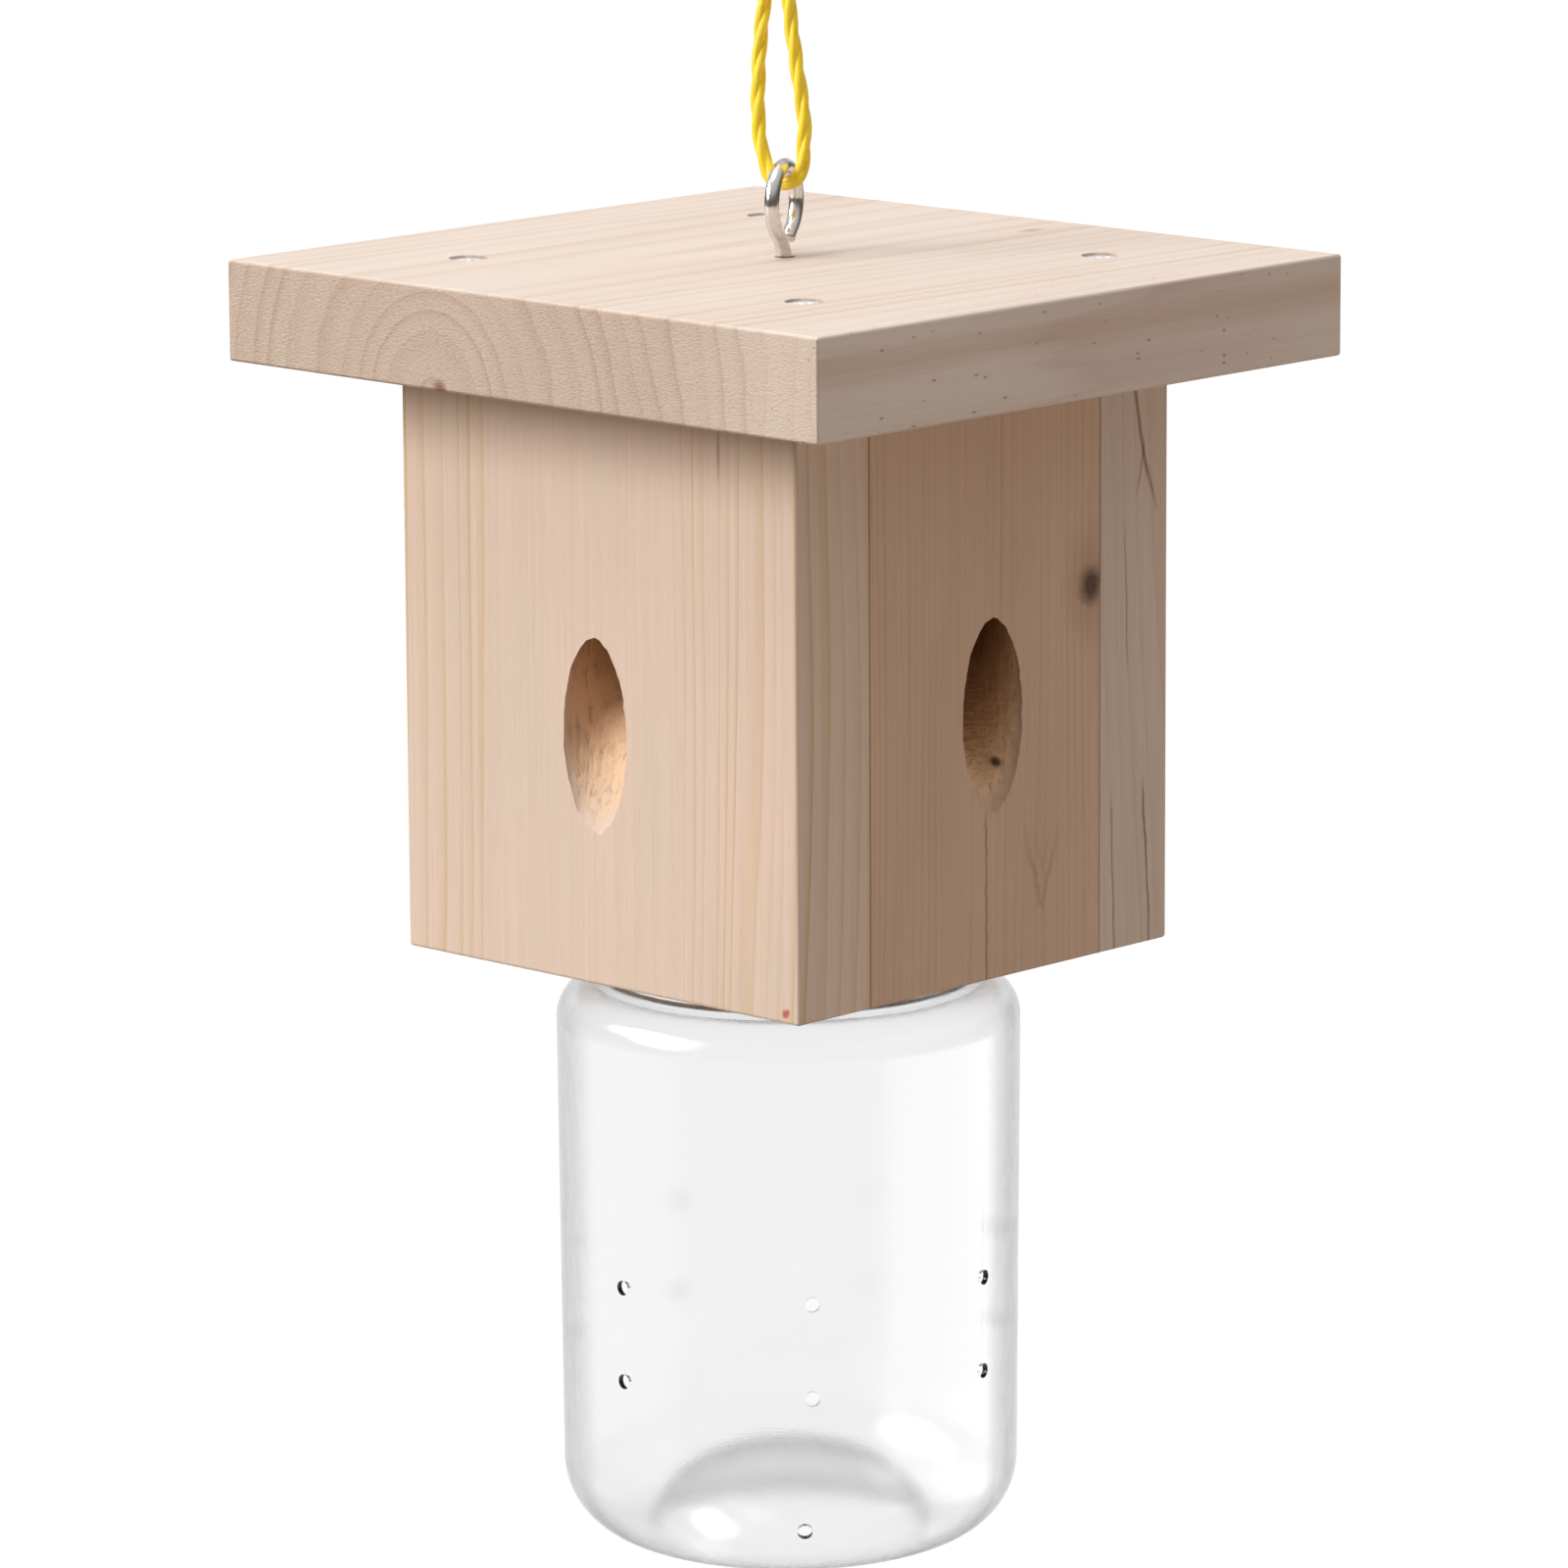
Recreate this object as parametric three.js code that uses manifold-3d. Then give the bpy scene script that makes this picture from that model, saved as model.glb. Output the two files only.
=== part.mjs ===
// A wooden bee trap house with a screw-on clear jar, hung on a doubled rope.
// Millimetres, +Z up. The origin is the hanging point, inside the top of the rope's loop.
// The front of the house faces -Y and its right side faces +X.
import * as THREE from "three";
import { mergeVertices } from "three/addons/utils/BufferGeometryUtils.js";
import Module from "manifold-3d";

// ---- Driving dimensions ----

const GLUE_LINE = 0.15; // between boards that are glued face to face
const SEAT_GAP = 0.1; // between unturned pieces that rest on each other
const HOLE_CLEARANCE = 0.3; // round a screw or a shank in its hole
const THROUGH = 1; // how far a cutter runs past the piece that it cuts

const ROOF = { x: 158, y: 149, thick: 20, belowHook: 90 };
const HOUSE = { width: 106, height: 116.5, board: 20 };
const ENTRY = { bit: 17, rise: 63.2, cutterLength: 130, sides: 40 };
// How far each wall's entry hole is below the roof, and beside the wall's middle.
const WALLS = [
  { name: "wall_front", turn: 0, full: true, drop: 67.5, beside: -0.6 },
  { name: "wall_right", turn: 90, full: false, drop: 64.5, beside: 1.7 },
  { name: "wall_back", turn: 180, full: true, drop: 66, beside: 0 },
  { name: "wall_left", turn: 270, full: false, drop: 66, beside: 0 },
];
const BASE = { thick: 12, lidInset: 2 };
const THROAT = 16; // radius of the way down from the house into the jar

const ROOF_SCREW = {
  across: 90,
  endInset: 11,
  sunk: 0.5,
  head: 3.5,
  headHeight: 2.1,
  shank: 1.75,
  length: 40,
  point: 4,
};
const LID_SCREW = { circle: 24, head: 3, headHeight: 2, shank: 1.4, length: 11, point: 2.5 };
const PAN = { crown: 0.55, brow: 0.9, browHeight: 0.6 }; // shares of a pan head's radius and height
const DRIVE = { span: 3.6, slot: 0.8, depth: 1.3 }; // cross recess in a screw's head

const EYE = { wire: 1.5, ring: 7, neck: 8, embedded: 15, turn: 23.6, top: 19.3, endGap: 0.4 };
const EYE_STEPS = { sides: 10, along: 56, neck: 4, ring: 20, end: 3 };
const ROPE = { radius: 1.5, sides: 8 };
const ROPE_STEPS = { strands: 42, loop: 20, tail: 6 };

const LID = { plate: 2, skirt: 1.8, lip: 0.4, recessClearance: 0.8 };
const SEAL = { thick: 1.2, overhang: 0.3, inset: 0.4 };
const THREAD = {
  pitch: 5,
  turns: 1.1,
  jarBead: 1.2,
  lidBead: 1.6,
  proud: 0.15,
  play: 0.3,
  room: 2.5,
  start: 8.5,
  sides: 8,
};
const JAR = {
  neck: 34.8,
  neckHeight: 21.3,
  collarProud: 2,
  collarHeight: 4,
  collarSlope: 1,
  body: 46,
  foot: 45.3,
  bodyHeight: 113.1,
  wall: 1.2,
  neckWall: 1.4,
  shoulder: 8,
  heel: 15.3,
  dome: 27,
  domeHeight: 16,
};
const VENT = { bore: 1.5, columns: 7, firstAngle: -41, heights: [38.4, 57.4] };
const DRAIN = { bore: 1.5, angle: -43, slope: 15 };

const ROUND = 44; // sides of a turned piece
const SMALL_ROUND = 16; // sides of a screw and of a hole for one
const VENT_ROUND = 10; // sides of a hole in the jar
const ARC_STEPS = { heel: 7, shoulder: 6 };

// ---- Sizes and heights that follow from the dimensions ----

const half = HOUSE.width / 2;
const inner = half - HOUSE.board; // from the axis to a wall's inner face
const mouth = JAR.neck - JAR.neckWall;

// The jar's bead rides above the lid's bead, so the lid carries the jar.
const skirtInner = JAR.neck + THREAD.room;
const skirtOuter = skirtInner + LID.skirt;
const recessRadius = skirtOuter + LID.recessClearance;
const jarBeadRadius = JAR.neck + THREAD.proud;
const lidBeadRadius = skirtInner - THREAD.proud;
const beadReach = THREAD.jarBead + THREAD.lidBead + THREAD.play;
const beadStep = Math.sqrt(beadReach ** 2 - (lidBeadRadius - jarBeadRadius) ** 2);
const lidBeadBelowRim = THREAD.start + beadStep;
const rimBelowLidTop = LID.plate + SEAL.thick + 2 * SEAT_GAP;
const lidDepth = rimBelowLidTop + lidBeadBelowRim + THREAD.lidBead + LID.lip;

const roofTop = -ROOF.belowHook;
const roofUnder = roofTop - ROOF.thick;
const houseBottom = roofUnder - HOUSE.height;
const lidBottom = houseBottom + BASE.lidInset;
const lidTop = lidBottom + lidDepth;
const lidUnder = lidTop - LID.plate;
const baseUnder = lidTop + SEAT_GAP;
const baseTop = baseUnder + BASE.thick;
const rim = lidTop - rimBelowLidTop;
const jarBase = rim - JAR.neckHeight - JAR.bodyHeight;

// ---- Colours ----

const finish = (color, roughness, metalness, extra = {}) =>
  new THREE.MeshStandardMaterial({ color, roughness, metalness, ...extra });
const pine = finish(0xdcc3a8, 0.75, 0);
const zinc = finish(0xb9babb, 0.35, 1);
const nickel = finish(0xd8d5d0, 0.15, 1);
const yellowRope = finish(0xf6c40f, 0.6, 0);
const clearPlastic = finish(0xeef0f0, 0.12, 0, { transparent: true, opacity: 0.3 });
const whitePlastic = finish(0xececea, 0.4, 0);
const foam = finish(0xf2f2ee, 0.9, 0);

// ---- Solids ----

const wasm = await Module();
wasm.setup();

const radians = THREE.MathUtils.degToRad;

function solidOf(geometry) {
  geometry.deleteAttribute("normal");
  geometry.deleteAttribute("uv");
  const merged = mergeVertices(geometry, 1e-4);
  return new wasm.Manifold(
    new wasm.Mesh({
      numProp: 3,
      vertProperties: merged.attributes.position.array,
      triVerts: new Uint32Array(merged.index.array),
    }),
  );
}

function geometryOf(solid) {
  const mesh = solid.getMesh();
  const geometry = new THREE.BufferGeometry();
  geometry.setAttribute("position", new THREE.BufferAttribute(mesh.vertProperties, 3));
  geometry.setIndex(new THREE.BufferAttribute(mesh.triVerts, 1));
  geometry.computeVertexNormals();
  return geometry;
}

function piece(name, solid, material) {
  const mesh = new THREE.Mesh(geometryOf(solid), material);
  mesh.name = name;
  return mesh;
}

// A block given by its lowest and highest corners.
function block(low, high) {
  const size = high.map((top, i) => top - low[i]);
  const middle = high.map((top, i) => (top + low[i]) / 2);
  return solidOf(new THREE.BoxGeometry(...size).translate(...middle));
}

// A piece turned about +Z. The profile is [radius, height] points, run up its outside.
function turned(profile, sides = ROUND) {
  const points = profile.map(([r, z]) => new THREE.Vector2(r, z));
  return solidOf(new THREE.LatheGeometry(points, sides).rotateX(Math.PI / 2));
}

// A straight round rod between two points.
function rod(radius, from, to, sides) {
  const start = new THREE.Vector3(...from);
  const along = new THREE.Vector3(...to).sub(start);
  const turn = new THREE.Quaternion().setFromUnitVectors(
    new THREE.Vector3(0, 1, 0),
    along.clone().normalize(),
  );
  const cylinder = new THREE.CylinderGeometry(radius, radius, along.length(), sides)
    .applyQuaternion(turn)
    .translate(...start.addScaledVector(along, 0.5));
  return solidOf(cylinder);
}

// A round section carried along a curve.
function tube(curve, radius, sides, steps) {
  const section = new THREE.Shape();
  for (let i = 0; i < sides; i++) {
    const angle = (2 * Math.PI * i) / sides;
    const point = [radius * Math.cos(angle), radius * Math.sin(angle)];
    if (i === 0) section.moveTo(...point);
    else section.lineTo(...point);
  }
  section.closePath();
  return solidOf(new THREE.ExtrudeGeometry(section, { steps, extrudePath: curve }));
}

// Points of an arc, [x, y] each, from one angle in degrees to another.
function arc(x, y, radiusX, radiusY, from, to, steps) {
  return Array.from({ length: steps + 1 }, (_, i) => {
    const angle = radians(from + ((to - from) * i) / steps);
    return [x + radiusX * Math.cos(angle), y + radiusY * Math.sin(angle)];
  });
}

class Helix extends THREE.Curve {
  constructor(radius, pitch, turns, height) {
    super();
    Object.assign(this, { radius, pitch, turns, height });
  }
  getPoint(t, target = new THREE.Vector3()) {
    const angle = 2 * Math.PI * this.turns * t;
    return target.set(
      this.radius * Math.cos(angle),
      this.radius * Math.sin(angle),
      this.height + this.pitch * this.turns * t,
    );
  }
}

function threadBead(centreRadius, beadRadius, height) {
  const helix = new Helix(centreRadius, THREAD.pitch, THREAD.turns, height);
  return tube(helix, beadRadius, THREAD.sides, Math.round(ROUND * THREAD.turns));
}

// ---- Screws ----

// A countersunk screw, its head's face at z = 0 and its point down. grow widens it into its hole.
function countersunk(screw, grow = 0) {
  const taper = screw.head - screw.shank;
  const edge = screw.headHeight - taper;
  return turned(
    [
      [0, -screw.length - grow],
      [screw.shank + grow, -screw.length + screw.point - grow],
      [screw.shank + grow, -edge - taper - grow],
      [screw.head + grow, -edge - grow],
      [screw.head + grow, grow],
      [0, grow],
    ],
    SMALL_ROUND,
  );
}

// A pan-head screw, the underside of its head at z = 0 and its point up.
function panHead(screw, grow = 0) {
  const { head, headHeight, shank, length, point } = screw;
  return turned(
    [
      [0, -headHeight],
      [head * PAN.crown, -headHeight],
      [head * PAN.brow, -headHeight * PAN.browHeight],
      [head, 0],
      [shank + grow, 0],
      [shank + grow, length - point],
      [0, length + grow],
    ],
    SMALL_ROUND,
  );
}

// Cuts a cross recess into a head whose face is at z, from the side given by facing (1 up, -1 down).
function crossRecess(solid, z, facing) {
  const [low, high] = [z + facing * THROUGH, z - facing * DRIVE.depth].sort((a, b) => a - b);
  const [span, slot] = [DRIVE.span / 2, DRIVE.slot / 2];
  return solid
    .subtract(block([-span, -slot, low], [span, slot, high]))
    .subtract(block([-slot, -span, low], [slot, span, high]));
}

const roofScrewZ = roofTop - ROOF_SCREW.sunk;
const roofScrewPlaces = [-1, 1].flatMap((sideY) =>
  [-1, 1].map((sideX) => [(sideX * ROOF_SCREW.across) / 2, sideY * (half - ROOF_SCREW.endInset)]),
);
const roofScrewHoles = roofScrewPlaces.map(([x, y]) => {
  const mouthRadius = ROOF_SCREW.head + HOLE_CLEARANCE;
  const above = rod(mouthRadius, [x, y, roofScrewZ], [x, y, roofTop + THROUGH], SMALL_ROUND);
  return countersunk(ROOF_SCREW, HOLE_CLEARANCE).translate([x, y, roofScrewZ]).add(above);
});

// ---- House ----

const group = new THREE.Group();

function withoutHoles(solid, holes) {
  return holes.reduce((left, hole) => left.subtract(hole), solid);
}

const eyeHole = rod(
  EYE.wire + 2 * HOLE_CLEARANCE,
  [0, 0, roofTop + THROUGH],
  [0, 0, roofTop - EYE.embedded - THROUGH],
  SMALL_ROUND,
);
const roof = withoutHoles(
  block([-ROOF.x / 2, -ROOF.y / 2, roofUnder], [ROOF.x / 2, ROOF.y / 2, roofTop]),
  [...roofScrewHoles, eyeHole],
);
group.add(piece("roof_board", roof, pine));

const recess = rod(recessRadius, [0, 0, houseBottom - THROUGH], [0, 0, baseUnder], ROUND);

// Walls are cut as the front one and turned into place. Full boards cover the ends of the others.
for (const wall of WALLS) {
  const reach = wall.full ? half : inner - GLUE_LINE;
  const board = block([-reach, -half, houseBottom], [reach, -inner, roofUnder - GLUE_LINE]);
  const rise = radians(ENTRY.rise);
  const run = [0, Math.cos(rise), Math.sin(rise)];
  const [before, after] = [-ENTRY.cutterLength / 2, ENTRY.cutterLength / 2];
  const mouthPoint = [wall.beside, -half, roofUnder - wall.drop];
  const along = (distance) => mouthPoint.map((value, i) => value + run[i] * distance);
  const entry = rod(ENTRY.bit / 2, along(before), along(after), ENTRY.sides);
  const screwHoles = wall.full ? roofScrewHoles : [];
  const mesh = piece(wall.name, withoutHoles(board, [entry, recess, ...screwHoles]), pine);
  mesh.rotation.z = radians(wall.turn);
  group.add(mesh);
}

const lidScrewPlaces = [45, 135, 225, 315].map((angle) => [
  LID_SCREW.circle * Math.cos(radians(angle)),
  LID_SCREW.circle * Math.sin(radians(angle)),
]);
const lidScrewZ = lidUnder - SEAT_GAP;
const lidScrewHoles = lidScrewPlaces.map(([x, y]) =>
  panHead(LID_SCREW, HOLE_CLEARANCE).translate([x, y, lidScrewZ]),
);
const throat = rod(THROAT, [0, 0, lidUnder - THROUGH], [0, 0, baseTop + THROUGH], ROUND);
const baseReach = inner - GLUE_LINE;
const base = withoutHoles(
  block([-baseReach, -baseReach, baseUnder], [baseReach, baseReach, baseTop]),
  [throat, ...lidScrewHoles],
);
group.add(piece("base_board", base, pine));

roofScrewPlaces.forEach(([x, y], i) => {
  const screw = piece(`roof_screw_${i + 1}`, crossRecess(countersunk(ROOF_SCREW), 0, 1), zinc);
  screw.position.set(x, y, roofScrewZ);
  group.add(screw);
});

lidScrewPlaces.forEach(([x, y], i) => {
  const head = crossRecess(panHead(LID_SCREW), -LID_SCREW.headHeight, -1);
  const screw = piece(`lid_screw_${i + 1}`, head, zinc);
  screw.position.set(x, y, lidScrewZ);
  group.add(screw);
});

// ---- Lid, seal and jar ----

const lid = turned([
  [skirtOuter, lidBottom],
  [skirtOuter, lidTop],
  [THROAT, lidTop],
  [THROAT, lidUnder],
  [skirtInner, lidUnder],
  [skirtInner, lidBottom],
  [skirtOuter, lidBottom],
]).add(threadBead(lidBeadRadius, THREAD.lidBead, rim - lidBeadBelowRim));
const lidScrewBores = lidScrewPlaces.map(([x, y]) => {
  const [below, above] = [lidUnder - THROUGH, lidTop + THROUGH];
  return rod(LID_SCREW.shank + HOLE_CLEARANCE, [x, y, below], [x, y, above], SMALL_ROUND);
});
group.add(piece("jar_lid", withoutHoles(lid, lidScrewBores), whitePlastic));

const sealTop = lidUnder - SEAT_GAP;
const sealInner = mouth - SEAL.inset;
const sealOuter = JAR.neck + SEAL.overhang;
const seal = turned([
  [sealOuter, sealTop - SEAL.thick],
  [sealOuter, sealTop],
  [sealInner, sealTop],
  [sealInner, sealTop - SEAL.thick],
  [sealOuter, sealTop - SEAL.thick],
]);
group.add(piece("seal_ring", seal, foam));

const shoulderX = JAR.body - JAR.shoulder;
const shoulderZ = jarBase + JAR.bodyHeight - JAR.shoulder;
const heelX = JAR.foot - JAR.heel;
const heelZ = jarBase + JAR.heel;
const collar = JAR.neck + JAR.collarProud;
const collarTop = jarBase + JAR.bodyHeight + JAR.collarHeight;
const shoulderInner = JAR.shoulder - JAR.wall;
const heelInner = JAR.heel - JAR.wall;
const domeInner = JAR.dome + JAR.wall;
const domeInnerHeight = JAR.domeHeight + JAR.wall;
const floorAngle = (Math.asin(JAR.wall / domeInnerHeight) * 180) / Math.PI;
const jarShell = turned([
  ...arc(0, jarBase, JAR.dome, JAR.domeHeight, 90, 0, ARC_STEPS.heel),
  ...arc(heelX, heelZ, JAR.heel, JAR.heel, -90, 0, ARC_STEPS.heel),
  ...arc(shoulderX, shoulderZ, JAR.shoulder, JAR.shoulder, 0, 90, ARC_STEPS.shoulder),
  [collar, jarBase + JAR.bodyHeight],
  [collar, collarTop - JAR.collarSlope],
  [JAR.neck, collarTop],
  [JAR.neck, rim],
  [mouth, rim],
  [mouth, shoulderZ + shoulderInner],
  ...arc(shoulderX, shoulderZ, shoulderInner, shoulderInner, 90, 0, ARC_STEPS.shoulder),
  ...arc(heelX, heelZ, heelInner, heelInner, 0, -90, ARC_STEPS.heel),
  ...arc(0, jarBase, domeInner, domeInnerHeight, floorAngle, 90, ARC_STEPS.heel),
]);

const ventHoles = VENT.heights.flatMap((height) =>
  Array.from({ length: VENT.columns }, (_, i) => {
    const angle = radians(VENT.firstAngle + (360 * i) / VENT.columns);
    const out = [Math.cos(angle), Math.sin(angle)];
    const at = (radius) => [out[0] * radius, out[1] * radius, jarBase + height];
    return rod(VENT.bore, at(JAR.foot - JAR.wall - THROUGH), at(JAR.body + THROUGH), VENT_ROUND);
  }),
);

// A point on the drain hole's axis, at a distance from the heel's centre.
function drainPoint(distance) {
  const [slope, angle] = [radians(DRAIN.slope), radians(DRAIN.angle)];
  const radius = heelX + distance * Math.cos(slope);
  return [radius * Math.cos(angle), radius * Math.sin(angle), heelZ - distance * Math.sin(slope)];
}
const drainEnds = [drainPoint(heelInner - THROUGH), drainPoint(JAR.heel + THROUGH)];
const drainHole = rod(DRAIN.bore, ...drainEnds, VENT_ROUND);

const jarBead = threadBead(jarBeadRadius, THREAD.jarBead, rim - THREAD.start);
const jar = withoutHoles(jarShell.add(jarBead), [...ventHoles, drainHole]);
group.add(piece("jar", jar, clearPlastic));

// ---- Eye screw and rope ----

// The eye's ring lies in this group's YZ plane, and the rope's loop in its XZ plane.
const hanger = new THREE.Group();
hanger.rotation.z = radians(EYE.turn);
hanger.position.z = roofTop;
group.add(hanger);

const ringZ = EYE.top - EYE.ring - EYE.wire;
const neckZ = ringZ - Math.sqrt(EYE.ring ** 2 + 2 * EYE.ring * EYE.neck);
const neckSweep = (Math.atan2(EYE.neck, ringZ - neckZ) * 180) / Math.PI;
// The wire's free end stops where it would meet the shank's side of the ring.
const endInset = EYE.wire + EYE.endGap;
const endSweep = (Math.acos(1 - endInset / EYE.neck) * 180) / Math.PI;
const eyeOutline = [
  [0, -EYE.embedded],
  [0, (neckZ - EYE.embedded) / 2],
  ...arc(-EYE.neck, neckZ, EYE.neck, EYE.neck, 0, 90 - neckSweep, EYE_STEPS.neck).slice(0, -1),
  ...arc(0, ringZ, EYE.ring, EYE.ring, 270 - neckSweep, -90 + neckSweep, EYE_STEPS.ring),
  ...arc(EYE.neck, neckZ, EYE.neck, EYE.neck, 90 + neckSweep, 180 - endSweep, EYE_STEPS.end).slice(1),
];
const eyeCurve = new THREE.CatmullRomCurve3(
  eyeOutline.map(([y, z]) => new THREE.Vector3(0, y, z)),
  false,
  "centripetal",
);
const eyeScrew = tube(eyeCurve, EYE.wire, EYE_STEPS.sides, EYE_STEPS.along);
hanger.add(piece("eye_screw", eyeScrew, nickel));

// The rope's route, [x, z] above the roof: down one side, under the eye's wire and up again.
const STRANDS = [
  [-2.6, 60],
  [-3.9, 49.7],
  [-5, 38.9],
  [-5.3, 27.8],
  [-4.7, 21.5],
  [-3.7, 17.8],
  [-2.6, 15.3],
  [0, 14.2],
  [2.6, 15.3],
  [3.7, 17.8],
  [4.1, 21.5],
  [4.1, 27.8],
  [2.5, 38.9],
  [1.2, 49.7],
  [0.9, 60],
];
const KNOT = { x: -0.9, z: 66.2, alongRope: 5.9, across: 5.4, thick: 4.6, sides: 16, rings: 10 };
// The hanging loop above the knot, and the two cut ends beside it.
const LOOP = [
  [-2.6, 72.2],
  [-5.6, 76.5],
  [-7.2, 81.5],
  [-6, 87.6],
  [0, 91.5],
  [6, 87.6],
  [7, 81.5],
  [5, 76.5],
  [1.6, 72.2],
];
const TAILS = [
  [
    [-6.8, 66.4],
    [-9.6, 66.2],
    [-12.4, 64.4],
    [-14, 61.4],
    [-14.8, 58.2],
  ],
  [
    [5, 66.4],
    [8, 66.6],
    [10.6, 65.2],
    [12.4, 62.4],
    [13.4, 59.4],
  ],
];

const routeOf = (points) =>
  new THREE.CatmullRomCurve3(
    points.map(([x, z]) => new THREE.Vector3(x, 0, z)),
    false,
    "centripetal",
  );
const ropePiece = (name, points, steps) =>
  piece(name, tube(routeOf(points), ROPE.radius, ROPE.sides, steps), yellowRope);

hanger.add(ropePiece("rope_strands", STRANDS, ROPE_STEPS.strands));
hanger.add(ropePiece("rope_loop", LOOP, ROPE_STEPS.loop));
TAILS.forEach((points, i) => {
  hanger.add(ropePiece(`rope_tail_${i + 1}`, points, ROPE_STEPS.tail));
});

const knotShape = new THREE.SphereGeometry(1, KNOT.sides, KNOT.rings)
  .scale(KNOT.across, KNOT.alongRope, KNOT.thick)
  .rotateX(Math.PI / 2)
  .translate(KNOT.x, 0, KNOT.z);
hanger.add(piece("rope_knot", solidOf(knotShape), yellowRope));

export default group;
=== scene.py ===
import math

import bmesh
import bpy
from mathutils import Matrix, Vector


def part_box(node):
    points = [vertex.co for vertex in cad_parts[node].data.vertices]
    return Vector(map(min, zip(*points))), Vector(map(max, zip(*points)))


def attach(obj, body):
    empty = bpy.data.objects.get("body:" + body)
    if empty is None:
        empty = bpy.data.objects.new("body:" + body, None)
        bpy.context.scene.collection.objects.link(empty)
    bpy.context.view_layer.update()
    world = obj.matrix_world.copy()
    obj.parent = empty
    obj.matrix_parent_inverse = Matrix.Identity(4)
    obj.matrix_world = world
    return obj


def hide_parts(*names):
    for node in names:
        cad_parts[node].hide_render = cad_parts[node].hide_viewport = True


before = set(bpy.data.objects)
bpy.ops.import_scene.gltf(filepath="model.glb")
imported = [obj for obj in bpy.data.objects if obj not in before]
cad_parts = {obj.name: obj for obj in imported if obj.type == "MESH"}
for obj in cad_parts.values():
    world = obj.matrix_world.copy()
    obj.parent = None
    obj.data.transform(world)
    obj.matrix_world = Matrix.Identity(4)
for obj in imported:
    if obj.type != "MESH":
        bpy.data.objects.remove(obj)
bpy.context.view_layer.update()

# ---- Camera, floor and light ----
# The trap hangs clear of a plain white floor. A large soft lamp before the front wall and one
# overhead leave the right wall in soft shade, and a third shows only as gloss.
class Wire:
    """One socket of a material, so that shader maths reads as sums and products."""

    def __init__(self, tree, socket):
        self.tree, self.socket = tree, socket

    def node(self, kind, settings, sockets, output=0):
        """Any node: its settings first, then its sockets, each a value or a wire."""
        made = self.tree.nodes.new("ShaderNode" + kind)
        for key, value in settings.items():
            if key == "stops":
                while len(made.color_ramp.elements) < len(value):
                    made.color_ramp.elements.new(0.5)
                for stop, (place, colour) in zip(made.color_ramp.elements, value):
                    stop.position = place
                    shade = colour if isinstance(colour, tuple) else (colour, colour, colour)
                    stop.color = (*shade, 1)
            else:
                setattr(made, key, value)
        feed(made, sockets)
        return Wire(self.tree, made.outputs[output])

    def math(self, operation, *values):
        return self.node("Math", {"operation": operation}, dict(enumerate(values)))

    def __add__(self, other):
        return self.math("ADD", self, other)

    __radd__ = __add__

    def __sub__(self, other):
        return self.math("SUBTRACT", self, other)

    def __rsub__(self, other):
        return self.math("SUBTRACT", other, self)

    def __mul__(self, other):
        return self.math("MULTIPLY", self, other)

    __rmul__ = __mul__

    def __truediv__(self, other):
        return self.math("DIVIDE", self, other)

    def __neg__(self):
        return self.math("MULTIPLY", self, -1.0)

    def __abs__(self):
        return self.math("ABSOLUTE", self)

    def __pow__(self, other):
        return self.math("POWER", self, other)

    def clamp(self):
        return self.node("Clamp", {}, {0: self})

    def ramp(self, *stops):
        return self.node("ValToRGB", {"stops": stops}, {0: self})

    def scaled(self, factor):
        """A vector or colour times a number."""
        return self.node("VectorMath", {"operation": "SCALE"}, {0: self, "Scale": factor})

    def parts(self):
        """A vector's three numbers."""
        made = self.node("SeparateXYZ", {}, {0: self})
        return [Wire(self.tree, socket) for socket in made.socket.node.outputs]

    def vector(self, x, y, z):
        return self.node("CombineXYZ", {}, {0: x, 1: y, 2: z})

    def noise(self, detail=2.0, roughness=0.5):
        """Smooth noise from 0 to 1 at this vector, with features about one unit wide."""
        return self.node("TexNoise", {}, {
            "Vector": self, "Scale": 1.0, "Detail": detail, "Roughness": roughness,
        })

    def mix(self, low, high):
        """low where this is 0 and high where it is 1, as colours."""
        low, high = [(*c, 1) if isinstance(c, tuple) else c for c in (low, high)]
        return self.node("Mix", {"data_type": "RGBA"}, {0: self, 6: low, 7: high}, output=2)


def feed(node, sockets):
    """Sets a node's sockets to values or links wires to them."""
    for key, value in sockets.items():
        if isinstance(value, Wire):
            value.tree.links.new(value.socket, node.inputs[key])
        else:
            node.inputs[key].default_value = value


def new_finish(name, coordinates="Object"):
    """A new material, its surface shader, and its coordinates as a wire."""
    material = bpy.data.materials.new(name)
    material.use_nodes = True
    tree = material.node_tree
    place = tree.nodes.new("ShaderNodeTexCoord")
    return material, tree.nodes["Principled BSDF"], Wire(tree, place.outputs[coordinates])


bpy.ops.object.select_all(action="DESELECT")
roof_low, roof_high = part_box("roof_board")
jar_low, jar_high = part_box("jar")

view_turn = math.radians(43.54)
view_rise = math.radians(11.47)
view_roll = math.radians(-0.31)
view_distance = 1.61838
view_offset = (-0.00019, -0.08307)  # the aim, across and up from the middle of the roof's underside
view_lens, view_sensor, view_reach = 190.42, 36, 50

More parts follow.
